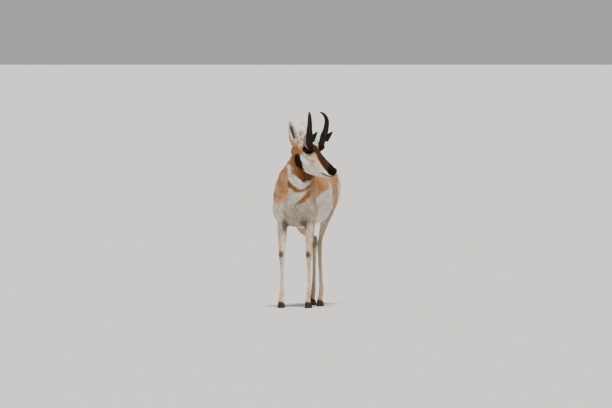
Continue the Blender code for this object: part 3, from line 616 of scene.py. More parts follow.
def eyeball(name, side, radius, around, rows):
    """Ball in the place of an eye."""
    bm = bmesh.new()
    centre = in_head(EYE, side)
    place = Matrix.Translation(centre) @ HEAD.to_3x3().to_4x4()
    bmesh.ops.create_uvsphere(bm, u_segments=around, v_segments=rows, radius=radius, matrix=place)
    return mesh_object(name, bm)


def lid_opening(side):
    """Almond-shaped plug that opens the lids over the eye."""
    near = []
    far = []
    for i in range(12):
        angle = 2 * pi * i / 12
        forward = LID_WIDE * cos(angle)
        up = LID_TALL * sin(angle) * (1 - 0.25 * abs(cos(angle)))
        for ring, depth, grow in ((near, 0.010, 0.92), (far, 0.040, 1.10)):
            spot = EYE + Vector((depth, forward * grow + 0.15 * depth, up * grow + 0.004))
            ring.append(in_head(spot, side))
    return lofted("lid_opening_" + str(side), [near, far])


def skin_tree(item):
    """Search tree of an object's faces, for rays."""
    bm = form_of(item)
    tree = BVHTree.FromBMesh(bm)
    bm.free()
    return tree


def surface_spot(tree, start, towards):
    """Where a ray from outside first meets the head's skin."""
    hit = tree.ray_cast(start, (towards - start).normalized())
    return hit[0] if hit[0] else towards


def mouth_groove(tree):
    """Shallow slot that follows the lips from one corner round the front to the other."""
    corner = Vector((0.0, 0.236, -0.041))
    front = Vector((0.0, 0.312, -0.020))
    rings = []
    steps = 14
    for i in range(steps + 1):
        angle = -pi / 2 + pi * i / steps
        centre = corner.lerp(front, 0.30 + 0.25 * cos(angle))
        reach = Vector((0.060 * sin(angle), 0.066 * cos(angle) - 0.020, 0.0))
        slope = (front.z - corner.z) / (front.y - corner.y)
        outside = centre + reach
        outside.z = corner.z + slope * (outside.y - corner.y)
        skin = surface_spot(tree, in_head(outside), in_head(centre))
        out = (in_head(outside) - in_head(centre)).normalized()
        deep = 0.0050 if 0 < i < steps else 0.0020
        lip = HEAD_UP * 0.0016
        rings.append([skin - out * deep, skin + out * 0.004 - lip, skin + out * 0.004 + lip])
    return lofted("mouth_groove", rings)


def nostril(side):
    """Comma-shaped hollow in the nose pad."""
    rings = []
    path = [(0.0120, 0.318, 0.008, 0.0030), (0.0190, 0.313, 0.010, 0.0050),
            (0.0265, 0.300, 0.014, 0.0042), (0.0300, 0.288, 0.020, 0.0018)]
    for x, forward, up, radius in path:
        centre = in_head((x, forward, up), side)
        rings.append(section(centre, HEAD_FORWARD, HEAD_UP, radius * 1.4, radius, radius, 2.0, 8))
    return lofted("nostril_" + str(side), rings)


# Bones: straight stretches that carry the way the hair lies, its length and its depth
MUZZLE_WAY = -HEAD_FORWARD
CHEEK_WAY = MUZZLE_WAY - HEAD_UP * 0.45
CROWN_WAY = MUZZLE_WAY + HEAD_UP * 0.15
TRUNK_BONES = [
    # start, end, radius, way of the hair, coat depth, hair length, hair half width
    ((0, -0.02, 0.70), (0, 0.36, 0.70), 0.14, (0, 1.0, -0.42), 0.0062, 0.021, 0.0014),
    ((0, 0.36, 0.72), (0, 0.56, 0.74), 0.12, (0, 0.9, -0.55), 0.0066, 0.022, 0.0014),
    ((0, 0.66, 0.75), (0, 0.70, 0.70), 0.09, (0, 0.45, -1.0), 0.0085, 0.030, 0.0016),
    ((0, -0.080, 0.78), (0, -0.070, 0.67), 0.10, (0, 0.20, -1.0), 0.0068, 0.022, 0.0014),
    ((0, -0.05, 0.66), (0, -0.03, 0.56), 0.09, (0, 0.25, -1.0), 0.0070, 0.024, 0.0015),
]
HEAD_BONES = [
    # the same columns, with both ends in the head's own frame
    ((0, 0.24, -0.012), (0, 0.312, -0.010), 0.028, MUZZLE_WAY, 0.0012, 0.0055, 0.0007),
    ((0, 0.15, -0.015), (0, 0.24, -0.012), 0.036, MUZZLE_WAY, 0.0016, 0.0080, 0.0009),
    ((0, 0.05, -0.045), (0, 0.15, -0.045), 0.052, CHEEK_WAY, 0.0026, 0.0120, 0.0011),
    ((0, 0.00, 0.025), (0, 0.13, 0.030), 0.050, CROWN_WAY, 0.0022, 0.0100, 0.0011),
]
LOW_LEG = 0.42             # below this height the hair of the legs is short


def bone(label, start, end, radius, way, depth, length, width):
    """A bone, its label and its hair, in the order that the code reads them."""
    way = Vector(way).normalized()
    return Vector(start), Vector(end), radius, way, label, depth, length, width


def leg_bones(label, stations):
    """Bones between the stations of a leg, with longer hair above than below."""
    bones = []
    for upper, lower in zip(stations, stations[1:]):
        start = Vector(upper[:3])
        end = Vector(lower[:3])
        hair = (0.0016, 0.0100, 0.0011) if end.z < LOW_LEG else (0.0035, 0.0160, 0.0015)
        bones.append(bone(label, start, end, upper[4], end - start, *hair))
    return bones


def bone_list():
    """Every bone, from the trunk to the tail."""
    bones = [bone("torso", *row) for row in TRUNK_BONES]
    for side in BOTH:
        x = side * 0.10
        bones += [
            bone("torso", (x, 0.06, 0.80), (x, -0.03, 0.62), 0.05, (0, 0.45, -1), 0.0058, 0.019, 0.0013),
            bone("torso", (x, 0.06, 0.60), (x, 0.40, 0.62), 0.06, (0, 0.50, -1), 0.0060, 0.022, 0.0014),
            bone("torso", (side * 0.08, 0.62, 0.78), STIFLES[side], 0.07, (0, 0.30, -1),
                 0.0058, 0.020, 0.0013),
        ]
    for index in range(len(NECK) - 1):
        start = Vector(NECK[index][:3])
        end = Vector(NECK[index + 1][:3])
        radius = 0.085 if index < 2 else 0.058
        bones.append(bone("neck", start, end, radius, start - end, 0.0068, 0.023, 0.0014))
    for start, end, *hair in HEAD_BONES:
        bones.append(bone("head", in_head(start), in_head(end), *hair))
    for name, side in SIDES:
        bones += leg_bones("fore_" + name, fore_stations(side)[1:])
        bones += leg_bones("hind_" + name, hind_stations(side)[2:])
    for side in BOTH:
        lean = EAR_POSES[side][0].normalized()
        root = in_head(EAR_ROOT, side)
        bones.append(bone("head", root + lean * 0.045, root + lean * 0.130, 0.018, lean,
                          0.0012, 0.0120, 0.0008))
    bones.append(bone("tail", (0, 0.76, 0.785), (0, 0.796, 0.700), 0.018, (0, 0.35, -1),
                      0.0050, 0.040, 0.0017))
    return bones


BONES = bone_list()
HEAD_ROWS = np.array([row[4] == "head" for row in BONES])
SHORT_HAIR_ROWS = np.array([row[7] < 0.0014 for row in BONES])
LABELS = ["torso", "neck", "head", "tail", "fore_left", "fore_right", "hind_left", "hind_right"]
CHARTS = {
    # label: low corner and size of its place in the coat's UV map
    "torso": (0.01, 0.01, 0.56, 0.56),
    "neck": (0.60, 0.01, 0.38, 0.26),
    "head": (0.60, 0.30, 0.38, 0.38),
    "fore_left": (0.01, 0.60, 0.13, 0.38),
    "fore_right": (0.16, 0.60, 0.13, 0.38),
    "hind_left": (0.31, 0.60, 0.13, 0.38),
    "hind_right": (0.46, 0.60, 0.13, 0.38),
    "tail": (0.62, 0.72, 0.10, 0.20),
}


def near_bones(points):
    """Weights of the bones at each point."""
    weights = np.zeros((len(points), len(BONES)))
    for k, row in enumerate(BONES):
        start = np.array(row[0])
        way = np.array(row[1]) - start
        part = np.clip(((points - start) @ way) / (way @ way), 0, 1)
        gap = np.linalg.norm(points - start - part[:, None] * way, axis=1)
        weights[:, k] = np.exp(-5.0 * gap / row[2])
    return weights / weights.sum(axis=1)[:, None]


def coat_facts(points):
    """Way of the hair, coat depth, hair length, half width and label index at each point."""
    weights = near_bones(points)
    ways = weights @ np.array([list(row[3]) for row in BONES])
    numbers = weights @ np.array([row[5:8] for row in BONES])
    per_label = np.zeros((len(points), len(LABELS)))
    for k, row in enumerate(BONES):
        per_label[:, LABELS.index(row[4])] += weights[:, k]
    return ways, numbers[:, 0], numbers[:, 1], numbers[:, 2], per_label.argmax(axis=1)


# The coat's UV map: each part of the body is unrolled round its own axis
def chart_axes():
    """Start, end and a sideways way for each label's unrolling."""
    axes = {
        "torso": ((0, -0.12, 0.69), (0, 0.76, 0.72), (1, 0, 0)),
        "neck": (NECK[0][:3], NECK[-1][:3], (1, 0, 0)),
        "head": (in_head((0, -0.06, -0.010)), in_head((0, 0.33, -0.010)), HEAD_ACROSS),
        "tail": ((0, 0.74, 0.80), (0, 0.80, 0.66), (1, 0, 0)),
    }
    for name, side in SIDES:
        axes["fore_" + name] = ((side * FORE_X, 0.02, 0.60), (side * FORE_X, -0.02, 0.0), (1, 0, 0))
        foot_x, foot_y = HIND_FEET[side]
        axes["hind_" + name] = (STIFLES[side], (foot_x, foot_y, 0.0), (1, 0, 0))
    return axes


CHART_AXES = chart_axes()


def unrolled(points, label):
    """Angle round the label's axis and place along it, both from 0 to 1."""
    start, end, side = (np.array(v, dtype=float) for v in CHART_AXES[label])
    way = end - start
    length = np.linalg.norm(way)
    way = way / length
    side = side - way * (side @ way)
    side = side / np.linalg.norm(side)
    other = np.cross(way, side)
    offset = points - start
    angle = np.arctan2(offset @ other, offset @ side) / (2 * pi) + 0.5
    along = np.clip((offset @ way) / length * 0.9 + 0.05, 0, 1)
    return angle, along


def on_chart(label, angle, along):
    """Place in the UV map, with a margin at the seam."""
    low_u, low_v, wide, high = CHARTS[label]
    return np.stack((low_u + wide * (0.03 + 0.94 * angle), low_v + high * along), axis=1)


def chart_spots(points, labels):
    """Place in the UV map of points that stand alone."""
    spots = np.zeros((len(points), 2))
    for index, label in enumerate(LABELS):
        chosen = labels == index
        if chosen.any():
            spots[chosen] = on_chart(label, *unrolled(points[chosen], label))
    return spots


def read_rows(items, attribute, width, kind=float):
    """One attribute of a mesh's parts, a row each."""
    values = np.zeros(len(items) * width, dtype=kind)
    items.foreach_get(attribute, values)
    return values.reshape(-1, width) if width > 1 else values


def write_uv(mesh, uv):
    """Stores the OFBake map, corner by corner."""
    layer = mesh.uv_layers.new(name="OFBake")
    layer.data.foreach_set("uv", np.clip(uv, 0, 1).astype(np.float32).ravel())


def skin_uv(mesh):
    """Writes the OFBake map of the skin, face by face so that no face spans a seam."""
    corner = read_rows(mesh.loops, "vertex_index", 1, np.int32)
    points = read_rows(mesh.vertices, "co", 3)
    centres = read_rows(mesh.polygons, "center", 3)
    totals = read_rows(mesh.polygons, "loop_total", 1, np.int32)
    face_of = np.repeat(np.arange(len(totals)), totals)
    labels = coat_facts(centres)[4]
    uv = np.zeros((len(corner), 2))
    for index, label in enumerate(LABELS):
        chosen = labels[face_of] == index
        if not chosen.any():
            continue
        angle, along = unrolled(points[corner[chosen]], label)
        middle = unrolled(centres[face_of[chosen]], label)[0]
        uv[chosen] = on_chart(label, angle - np.round(angle - middle), along)
    write_uv(mesh, uv)


# Markings and painted shade, shared by skin and coat
WHITE = (0.80, 0.75, 0.66)
CHEEK = (0.80, 0.73, 0.61)
# painted shade: the white of the chest, as it looks in shade
CHEST_SHADE = (0.46, 0.41, 0.34)
# painted shade: the white of the lower thigh, as it looks in shade
THIGH_SHADE = (0.46, 0.39, 0.30)
HORN_HAIR = (0.022, 0.011, 0.007)
CREAM = (0.60, 0.475, 0.350)
TAN = (0.58, 0.285, 0.138)
PALE_TAN = (0.62, 0.385, 0.225)
PINK_TAN = (0.56, 0.36, 0.21)
TEMPLE = (0.34, 0.165, 0.070)
RUST = (0.26, 0.105, 0.040)
DARK = (0.050, 0.020, 0.011)
BLACK = (0.008, 0.006, 0.005)
GREY = (0.34, 0.30, 0.26)
# painted shade: white hair as it looks in shade, for the lower patch of the breast
WHITE_IN_SHADE = (0.52, 0.47, 0.40)
# painted shade: tan as it looks in the crease between fore leg and chest
ARMPIT_SHADE = (0.130, 0.0525, 0.020)
# darker tan of the hind legs, partly their own colour and partly painted shade
HIND_TAN_AND_SHADE = (0.34, 0.26, 0.17)
KNEE = (0.085, 0.040, 0.016)
# backs of the ears: the left painted pale as lit, the right painted darker as shade
EAR_BACKS_LIT_AND_SHADED = {1: (0.88, 0.79, 0.69), -1: (0.50, 0.37, 0.26)}
# painted shade at each hock, heavier on the right hock, which stands in shade
HOCK_PAINTED_SHADE = {1: 0.25, -1: 0.70}
EAR_EDGES = {1: 0.22, -1: 0.60}
# hair behind each horn: pale on the left, painted dark as shade on the right
PUFFS_LIT_AND_SHADED = {1: (0.84, 0.79, 0.70), -1: (0.26, 0.20, 0.155)}
VIEW_TURN = 16.5           # degrees that the photo's camera stands to the animal's left


def step(value, low, high):
    """Smooth rise from 0 at `low` to 1 at `high`."""
    part = np.clip((value - low) / (high - low), 0, 1)
    return part * part * (3 - 2 * part)


def ripple(points, scale, seed):
    """Soft wandering value round 0, from a few crossed waves."""
    draw = np.random.default_rng(seed)
    total = np.zeros(len(points))
    for octave in range(5):
        way = draw.normal(size=3)
        way = way / np.linalg.norm(way) * (1.0 + octave * 0.8) * 2 * pi / scale
        total += np.sin(points @ way + draw.uniform(0, 6.28)) / (1.0 + octave * 0.5)
    return total / 2.6


def within(u, v, outline, soft):
    """1 inside a closed outline, falling to 0 over `soft` at its edge."""
    inside = np.zeros(len(u), dtype=bool)
    gap = np.full(len(u), 1e9)
    count = len(outline)
    for i in range(count):
        x0, y0 = outline[i]
        x1, y1 = outline[(i + 1) % count]
        crossing = ((y0 > v) != (y1 > v)) & (u < (x1 - x0) * (v - y0) / (y1 - y0 + 1e-12) + x0)
        inside ^= crossing
        dx = x1 - x0
        dy = y1 - y0
        part = np.clip(((u - x0) * dx + (v - y0) * dy) / (dx * dx + dy * dy + 1e-12), 0, 1)
        gap = np.minimum(gap, np.hypot(u - x0 - part * dx, v - y0 - part * dy))
    signed = np.where(inside, gap, -gap)
    return step(signed, -soft, soft)


def paint(colour, weight, new):
    """Lays a colour over what is there, as far as the weight says."""
    weight = np.clip(weight, 0, 1)[:, None]
    return colour * (1 - weight) + np.array(new) * weight


def gap_to(points, middle, stretch):
    """Distance to a spot, in a space that is stretched along x, y and z."""
    return np.linalg.norm((points - np.array(middle)) / np.array(stretch), axis=1)


def lip_line(forward):
    """Height of the line of the mouth, in the head's own frame."""
    return 0.22 * (forward - 0.25) - 0.037


def to_head(points):
    """Points in the head's own frame: to its left, forward and up."""
    inverse = np.array(HEAD.inverted())
    return points @ inverse[:3, :3].T + inverse[:3, 3]


# Throat and chest marks, as (across, height) outlines seen from the front
UPPER_BAND = [(-0.052, 0.895), (-0.046, 0.855), (-0.044, 0.813), (-0.031, 0.789), (-0.011, 0.768),
              (0.022, 0.743), (0.051, 0.743), (0.084, 0.772), (0.100, 0.800), (0.068, 0.792),
              (0.051, 0.782), (0.035, 0.797), (0.010, 0.818), (-0.006, 0.851), (-0.010, 0.888)]
LOWER_BAND = [(-0.050, 0.800), (-0.031, 0.791), (-0.011, 0.770), (0.022, 0.746), (0.051, 0.746),
              (0.084, 0.774), (0.096, 0.762), (0.062, 0.734), (0.035, 0.720), (0.008, 0.720),
              (-0.031, 0.748), (-0.050, 0.762)]
LOWER_PATCH = [(-0.043, 0.752), (-0.031, 0.750), (0.008, 0.722), (0.035, 0.722), (0.062, 0.736),
               (0.080, 0.730), (0.047, 0.692), (0.018, 0.668), (0.002, 0.655), (-0.042, 0.655)]
CHEST_STRIPE = [(0.070, 0.728), (0.092, 0.742), (0.090, 0.700), (0.064, 0.672), (0.032, 0.652),
                (-0.002, 0.640), (0.016, 0.668), (0.045, 0.692)]
THROAT = [(-0.020, 0.920), (-0.019, 0.884), (-0.015, 0.851), (0.006, 0.818), (0.035, 0.797), (0.051, 0.782),
          (0.068, 0.792), (0.100, 0.800), (0.110, 0.880), (0.050, 0.930)]

# Jaw marks, as (forward, up) outlines in the head's own frame
JAW_HALO = [(0.008, -0.040), (0.040, -0.018), (0.076, -0.040), (0.112, -0.078), (0.135, -0.118),
            (0.140, -0.150), (0.060, -0.150), (0.030, -0.110), (0.000, -0.070)]
JAW_PATCH = [(0.012, -0.042), (0.024, -0.024), (0.046, -0.016), (0.078, -0.030), (0.108, -0.048),
             (0.120, -0.076), (0.116, -0.102), (0.090, -0.104), (0.064, -0.088), (0.034, -0.068)]


def body_marks(points, normals):
    """Colours of everything but the head, part after part."""
    wander = ripple(points, 0.09, 3)
    fine = ripple(points, 0.025, 4)
    colour = np.tile(np.array(TAN), (len(points), 1))
    colour = paint(colour, step(points[:, 2] + 0.010 * wander, 0.815, 0.865) * 0.45, RUST)
    colour = paint(colour, 0.22 + 0.25 * wander, PALE_TAN)
    colour = flank_marks(points, normals, colour, wander, fine)
    colour = shoulder_marks(points, colour)
    colour = rump_marks(points, normals, colour, wander)
    colour = chest_marks(points, normals, colour, wander, fine)
    colour = nape_marks(points, colour)
    return leg_marks(points, normals, colour)


def flank_marks(points, normals, colour, wander, fine):
    """White flanks and belly, with grey streaks painted as the shade between the locks that hang there, and
    white inner sides.
    """
    x, y, z = points.T
    top = np.interp(y, (-0.02, 0.02, 0.09, 0.22, 0.32, 0.395), (0.560, 0.688, 0.714, 0.733, 0.752, 0.792))
    top = top + 0.006 * wander + 0.003 * fine
    back_edge = 0.395 + 0.80 * np.clip(0.70 - z, 0, 0.08) + 0.006 * wander
    flank = step(top - z, -0.006, 0.008) * step(y, 0.005, 0.030) * step(back_edge - y, -0.008, 0.008)
    colour = paint(colour, flank, WHITE)
    # painted shade: grey streaks between the locks on the lower flank
    flank_lock_shade = ripple(points * np.array((1.0, 1.0, 0.16)), 0.020, 14)
    flank_lock_shade = np.clip(0.7 * flank_lock_shade - 0.15, 0, 0.45) * step(0.70 - z, -0.04, 0.05)
    colour = paint(colour, flank * flank_lock_shade, GREY)
    belly = step(0.585 - z + 0.008 * wander, -0.014, 0.014) * (z > 0.42)
    colour = paint(colour, belly, WHITE)
    # painted shade: the lower thigh greyed as if in shade
    thigh = step(0.625 - z + 0.012 * wander, -0.030, 0.030) * step(y, 0.36, 0.42)
    colour = paint(colour, thigh, THIGH_SHADE)
    inner = step(-np.sign(x) * normals[:, 0], 0.25, 0.65) * (z < 0.66)
    return paint(colour, inner * 0.85, WHITE)


def shoulder_marks(points, colour):
    """Shoulder edges, paler and streaked."""
    x, y, z = points.T
    streak = ripple(points * np.array((1.0, 1.0, 0.18)), 0.016, 8)
    shoulder = step(z, 0.56, 0.64) * step(0.80 - z, 0, 0.10)
    shoulder = shoulder * step(0.05 - y, 0, 0.05) * step(np.abs(x), 0.050, 0.085)
    return paint(colour, shoulder * (0.40 + 0.45 * streak), CREAM)


def rump_marks(points, normals, colour, wander):
    """White rump, and a tail that is tan above, with dark bare skin below its root that is also painted as
    the shade of the cleft.
    """
    x, y, z = points.T
    side = np.abs(x)
    edge = 0.572 + 0.30 * np.abs(z - 0.745) + 0.008 * wander
    rump = step(y - edge, -0.010, 0.010) * step(z, 0.600, 0.630)
    colour = paint(colour, rump, WHITE)
    colour = paint(colour, rump * step(0.012 - side, 0, 0.008) * step(z, 0.78, 0.80) * 0.6, TAN)
    tail = step(y + 0.2 * (z - 0.74), 0.752, 0.764) * step(0.030 - side, 0, 0.008)
    colour = paint(colour, tail * step(normals[:, 2] + 0.6 * normals[:, 1], 0.1, 0.6) * 0.8, TAN)
    # dark patch under the tail's root: partly its bare skin, partly painted shade in the cleft
    under = step(1.15 - np.hypot(x / 0.020, (z - 0.705) / 0.040), 0, 0.45)
    under = under * step(y, 0.70, 0.72) * step(0.765 - y, 0, 0.01)
    return paint(colour, under * 0.75, DARK)


def chest_marks(points, normals, colour, wander, fine):
    """Bands of throat and breast, seen from the front, and the chest below them painted grey as shade, with
    painted shade between its locks.
    """
    y, z = points.T[1:]
    forward, left = level_ways(VIEW_TURN)
    front = step(normals @ np.array(forward), -0.05, 0.12) * step(0.04 - y, 0, 0.03)
    u = points @ np.array(left) + 0.0012 * fine
    v = z + 0.0015 * wander
    # painted shade: the white front of the chest below the bands, greyed as it looks in shade
    chest = step(0.668 - v + 0.006 * fine, -0.010, 0.010) * front
    chest = chest * step(0.100 - np.abs(u - 0.020), -0.012, 0.012)
    colour = paint(colour, chest * step(v, 0.40, 0.46), CHEST_SHADE)
    # painted shade: grey streaks between the chest's locks
    chest_lock_shade = ripple(points * np.array((1.0, 1.0, 0.22)), 0.030, 16)
    colour = paint(colour, chest * np.clip(0.8 * chest_lock_shade, 0, 0.6) * step(v, 0.46, 0.52), GREY)
    above_legs = step(z, 0.50, 0.54) * 0.75
    right_elbow = step(0.665 - z + 0.010 * wander, -0.02, 0.03) * step(-u, 0.066, 0.090)
    colour = paint(colour, right_elbow * above_legs, WHITE)
    left_elbow = step(0.640 - z + 0.010 * wander, -0.02, 0.04) * step(u, 0.085, 0.110)
    colour = paint(colour, left_elbow * step(0.03 - y, 0, 0.03) * above_legs, CREAM)
    throat = within(u, v, THROAT, 0.006) * front
    colour = paint(colour, throat * 0.9, RUST)
    colour = paint(colour, throat * step(u, 0.000, 0.060) * 0.5, DARK)
    # the lower patch of the breast is painted in white as it looks in shade
    for outline, new in ((LOWER_BAND, RUST), (LOWER_PATCH, WHITE_IN_SHADE), (CHEST_STRIPE, RUST),
                         (UPPER_BAND, WHITE)):
        colour = paint(colour, within(u, v, outline, 0.003) * front, new)
    right_shoulder = step(z, 0.66, 0.70) * step(0.76 - z, 0, 0.05) * step(-0.045 - u, 0, 0.02) * front
    return paint(colour, right_shoulder * 0.5, RUST)


def nape_marks(points, colour):
    """Dark line under the mane."""
    offset = points - np.array(NECK[3][:3])
    aside = np.abs(offset @ np.array(HEAD_LEFT))
    nape = step(offset @ np.array(-HEAD_LEVEL), 0.030, 0.045) * step(0.020 - aside, 0, 0.012)
    nape = nape * step(points[:, 2], 0.84, 0.88) * (points[:, 1] < 0.12)
    return paint(colour, nape * 0.7, DARK)


def leg_marks(points, normals, colour):
    """Legs: pale tan outside, paler in front, white inside, dark on the knees; hind legs darker tan, partly
    as painted shade; painted shade on the hocks and in the armpits.
    """
    x, y, z = points.T
    leg = step(0.50 - z, -0.03, 0.03)
    outside = np.sign(x) * normals[:, 0]
    front = -normals[:, 1]
    base = paint(np.tile(np.array(PALE_TAN), (len(points), 1)), step(-outside, -0.1, 0.6), WHITE)
    base = paint(base, step(front, 0.55, 0.90) * 0.75, CREAM)
    base = paint(base, step(np.abs(normals[:, 0]), 0.25, 0.60) * step(front, -0.2, 0.3) * 0.40, WHITE)
    # hind legs darker away from their front: partly their tan, partly painted shade
    base = paint(base, step(y, 0.20, 0.30) * step(front, -0.3, 0.3) * 0.55, HIND_TAN_AND_SHADE)
    base = paint(base, step(0.14 - z, 0, 0.08) * 0.6, TAN)
    colour = colour * (1 - leg[:, None]) + base * leg[:, None]
    for side in BOTH:
        knee = gap_to(points, (side * FORE_X, -0.030, 0.336), (1, 1, 1.1))
        colour = paint(colour, step(0.021 - knee, -0.008, 0.010) * 0.90, KNEE)
        # painted shade at the hocks, in the knees' dark colour
        hock = gap_to(points, Vector(HOCKS[side]) + Vector((0, -0.012, 0.020)), (1, 1, 1.7))
        colour = paint(colour, step(0.034 - hock, -0.008, 0.014) * HOCK_PAINTED_SHADE[side], KNEE)
        # painted shade in the armpits
        pit_shade = gap_to(points, (side * 0.060, -0.025, 0.530), (0.8, 1.8, 2.4))
        colour = paint(colour, step(0.030 - pit_shade, -0.010, 0.016) * 0.75, ARMPIT_SHADE)
    return colour


def head_marks(points):
    """Colours of the head, part after part, in its own frame: aside, forward and up."""
    local = to_head(points)
    colour = np.tile(np.array(CHEEK), (len(points), 1))
    colour = cheek_marks(local, colour, ripple(points, 0.045, 5))
    colour = mask_marks(local, colour, ripple(points, 0.012, 6))
    return eye_marks(local, colour)


def cheek_marks(local, colour, wander):
    """Crown, tear line, mottled cheek with painted shade in its folds, streaks behind it and the temple."""
    a, u = local.T[1:]
    crown = step(u + 0.25 * (0.10 - a) + 0.004 * wander, 0.018, 0.040) * step(0.165 - a, 0, 0.03)
    colour = paint(colour, crown * 0.85, PALE_TAN)
    tear = step(u + 0.3 * (a - 0.13), -0.004, 0.016) * step(a, 0.095, 0.115) * step(0.205 - a, 0, 0.05)
    colour = paint(colour, tear * (0.85 + 0.15 * wander), PINK_TAN)
    cheek = step(0.034 - np.abs(u + 0.018), 0, 0.02) * step(a, 0.085, 0.125) * step(0.250 - a, 0, 0.06)
    colour = paint(colour, cheek * np.clip(0.25 + wander, 0, 1) * 0.5, PINK_TAN)
    # painted shade: grey lines in the folds of the cheek
    fold_shade = ripple(local * np.array((1.0, 0.35, 1.0)), 0.014, 15)
    colour = paint(colour, cheek * np.clip(fold_shade - 0.15, 0, 1) * 0.45, GREY)
    behind = step(0.050 - a, 0, 0.02) * step(u, -0.060, -0.030)
    streaks = ripple(local * np.array((1.0, 1.0, 0.25)), 0.016, 12)
    colour = paint(colour, behind * np.clip(0.35 + 0.7 * streaks, 0, 0.8), GREY)
    temple = step(0.019 - np.abs(a - 0.058 - 0.10 * (0.03 - u)), 0, 0.012) * step(u, -0.014, 0.004)
    return paint(colour, temple * step(0.090 - u, 0, 0.02) * 0.85, TEMPLE)


def mask_marks(local, colour, fine):
    """Mask down the bridge of the nose, with nose pad, lips and chin."""
    a, u = local.T[1:]
    edge = np.interp(a, (0.075, 0.10, 0.13, 0.17, 0.21, 0.27, 0.31),
                     (0.077, 0.064, 0.050, 0.027, 0.009, -0.008, -0.014))
    mask = step(u - edge + 0.0018 * fine, -0.003, 0.004) * step(a, 0.060, 0.080)
    colour = paint(colour, mask, DARK)
    rust_rim = np.exp(-((u - edge) / 0.006) ** 2) * step(a, 0.12, 0.14) * step(0.26 - a, 0, 0.04)
    colour = paint(colour, rust_rim * 0.35, RUST)
    pad = step(a + 0.5 * u, 0.270, 0.286) * step(u, -0.018, -0.012)
    colour = paint(colour, pad, BLACK)
    lip = np.exp(-((u - lip_line(a)) / 0.0058) ** 2) * step(a, 0.232, 0.250)
    colour = paint(colour, lip * 0.9, BLACK)
    chin = step(a, 0.278, 0.300) * step(-0.024 - u, 0, 0.012)
    return paint(colour, chin * 0.55, GREY)


def eye_marks(local, colour):
    """Dark rims of the lids, the brow and the hair at the foot of the horn."""
    s, a, u = local.T
    eye = np.hypot((a - EYE.y - 0.003) / 1.10, (u - EYE.z - 0.002) * 1.35)
    colour = paint(colour, step(0.0315 - eye, -0.003, 0.004), DARK)
    colour = paint(colour, step(0.0285 - eye, -0.001, 0.003), BLACK)
    corner = step(0.016 - np.hypot(a - 0.122, (u - 0.056) * 1.2), -0.003, 0.005)
    colour = paint(colour, corner * 0.9, DARK)
    brow = step(u + 0.35 * (0.10 - a), 0.066, 0.074) * step(a, 0.066, 0.082) * step(0.132 - a, 0, 0.012)
    colour = paint(colour, brow * 0.9, HORN_HAIR)
    horn_root = step(0.032 - np.hypot(a - HORN_FOOT.y, np.abs(s) - HORN_FOOT.x), -0.004, 0.010)
    colour = paint(colour, horn_root * step(u, 0.060, 0.072) * 0.9, HORN_HAIR)
    pale_brow = np.exp(-((eye - 0.037) / 0.005) ** 2) * step(u, 0.040, 0.050) * step(0.098 - a, 0, 0.02)
    return paint(colour, pale_brow * 0.8, CREAM)


def jaw_marks(points, colour):
    """Black patch behind the jaw with brown round it, on head and neck alike."""
    s, a, u = to_head(points).T
    wander = ripple(points, 0.045, 5)
    fine = ripple(points, 0.012, 6)
    aside = step(np.abs(s), 0.016, 0.030)
    halo = within(a + 0.003 * fine, u + 0.004 * wander, JAW_HALO, 0.006)
    patch = within(a + 0.002 * fine, u + 0.002 * wander, JAW_PATCH, 0.004)
    colour = paint(colour, halo * aside * 0.85, RUST)
    colour = paint(colour, patch * aside, DARK)
    return paint(colour, patch * aside * 0.7, BLACK)


def ear_marks(points, normals, colour):
    """Cream backs, painted paler on the left ear as lit and darker on the right as shade, with a rusty edge
    and dark tips; white insides with a dark slit.
    """
    for side in BOTH:
        root = np.array(in_head(EAR_ROOT, side))
        lean = EAR_POSES[side][0].normalized()
        front = square_to(EAR_POSES[side][1], lean)
        along = (points - root) @ np.array(lean)
        off = points - root - along[:, None] * np.array(lean)
        gap = np.linalg.norm(off, axis=1)
        near = step(along, 0.014, 0.026) * (along < 0.16) * (gap < 0.036)
        aside = off @ np.array(lean.cross(front))
        inside = step(-(off * normals).sum(axis=1) / (gap + 1e-6), -0.2, 0.2)
        # backs of the ears, a lit and a shaded copy of one colour
        colour = paint(colour, near, EAR_BACKS_LIT_AND_SHADED[side])
        edge = step(np.abs(aside), 0.012, 0.021)
        colour = paint(colour, near * edge * (1 - inside) * EAR_EDGES[side], RUST)
        colour = paint(colour, near * step(along, 0.105, 0.138) * (1 - inside) * 0.6, DARK)
        colour = paint(colour, near * inside, WHITE)
        slit = step(0.0085 - np.abs(aside), -0.003, 0.003) * step(0.125 - along, 0, 0.03)
        colour = paint(colour, near * inside * slit * 0.9, DARK)
    return colour


def puff_marks(points, colour):
    """Pale hair behind the foot of each horn, painted dark as shade behind the right one."""
    for side in BOTH:
        middle = puff_middle(side)
        near = step(0.034 - gap_to(points, middle, (1.0, 1.0, 1.7)), 0, 0.010)
        near = near * step(points[:, 2] - middle.z, -0.040, -0.022)
        # the right puff is painted dark as shade
        colour = paint(colour, near, PUFFS_LIT_AND_SHADED[side])
    return colour


def marks(points, normals):
    """Colour at each point, the head's and the body's blended where they meet."""
    head_share = near_bones(points)[:, HEAD_ROWS].sum(axis=1)
    share = step(head_share, 0.40, 0.60)[:, None]
    colour = head_marks(points) * share + body_marks(points, normals) * (1 - share)
    colour = jaw_marks(points, colour)
    colour = puff_marks(points, colour)
    return ear_marks(points, normals, colour)


# Skin
def mesh_arrays(mesh):
    """Vertex places and normals of a mesh."""
    return read_rows(mesh.vertices, "co", 3), read_rows(mesh.vertices, "normal", 3)


def move_vertices(mesh, points):
    """Puts the vertices of a mesh in new places."""
    mesh.vertices.foreach_set("co", points.ravel())
    mesh.update()


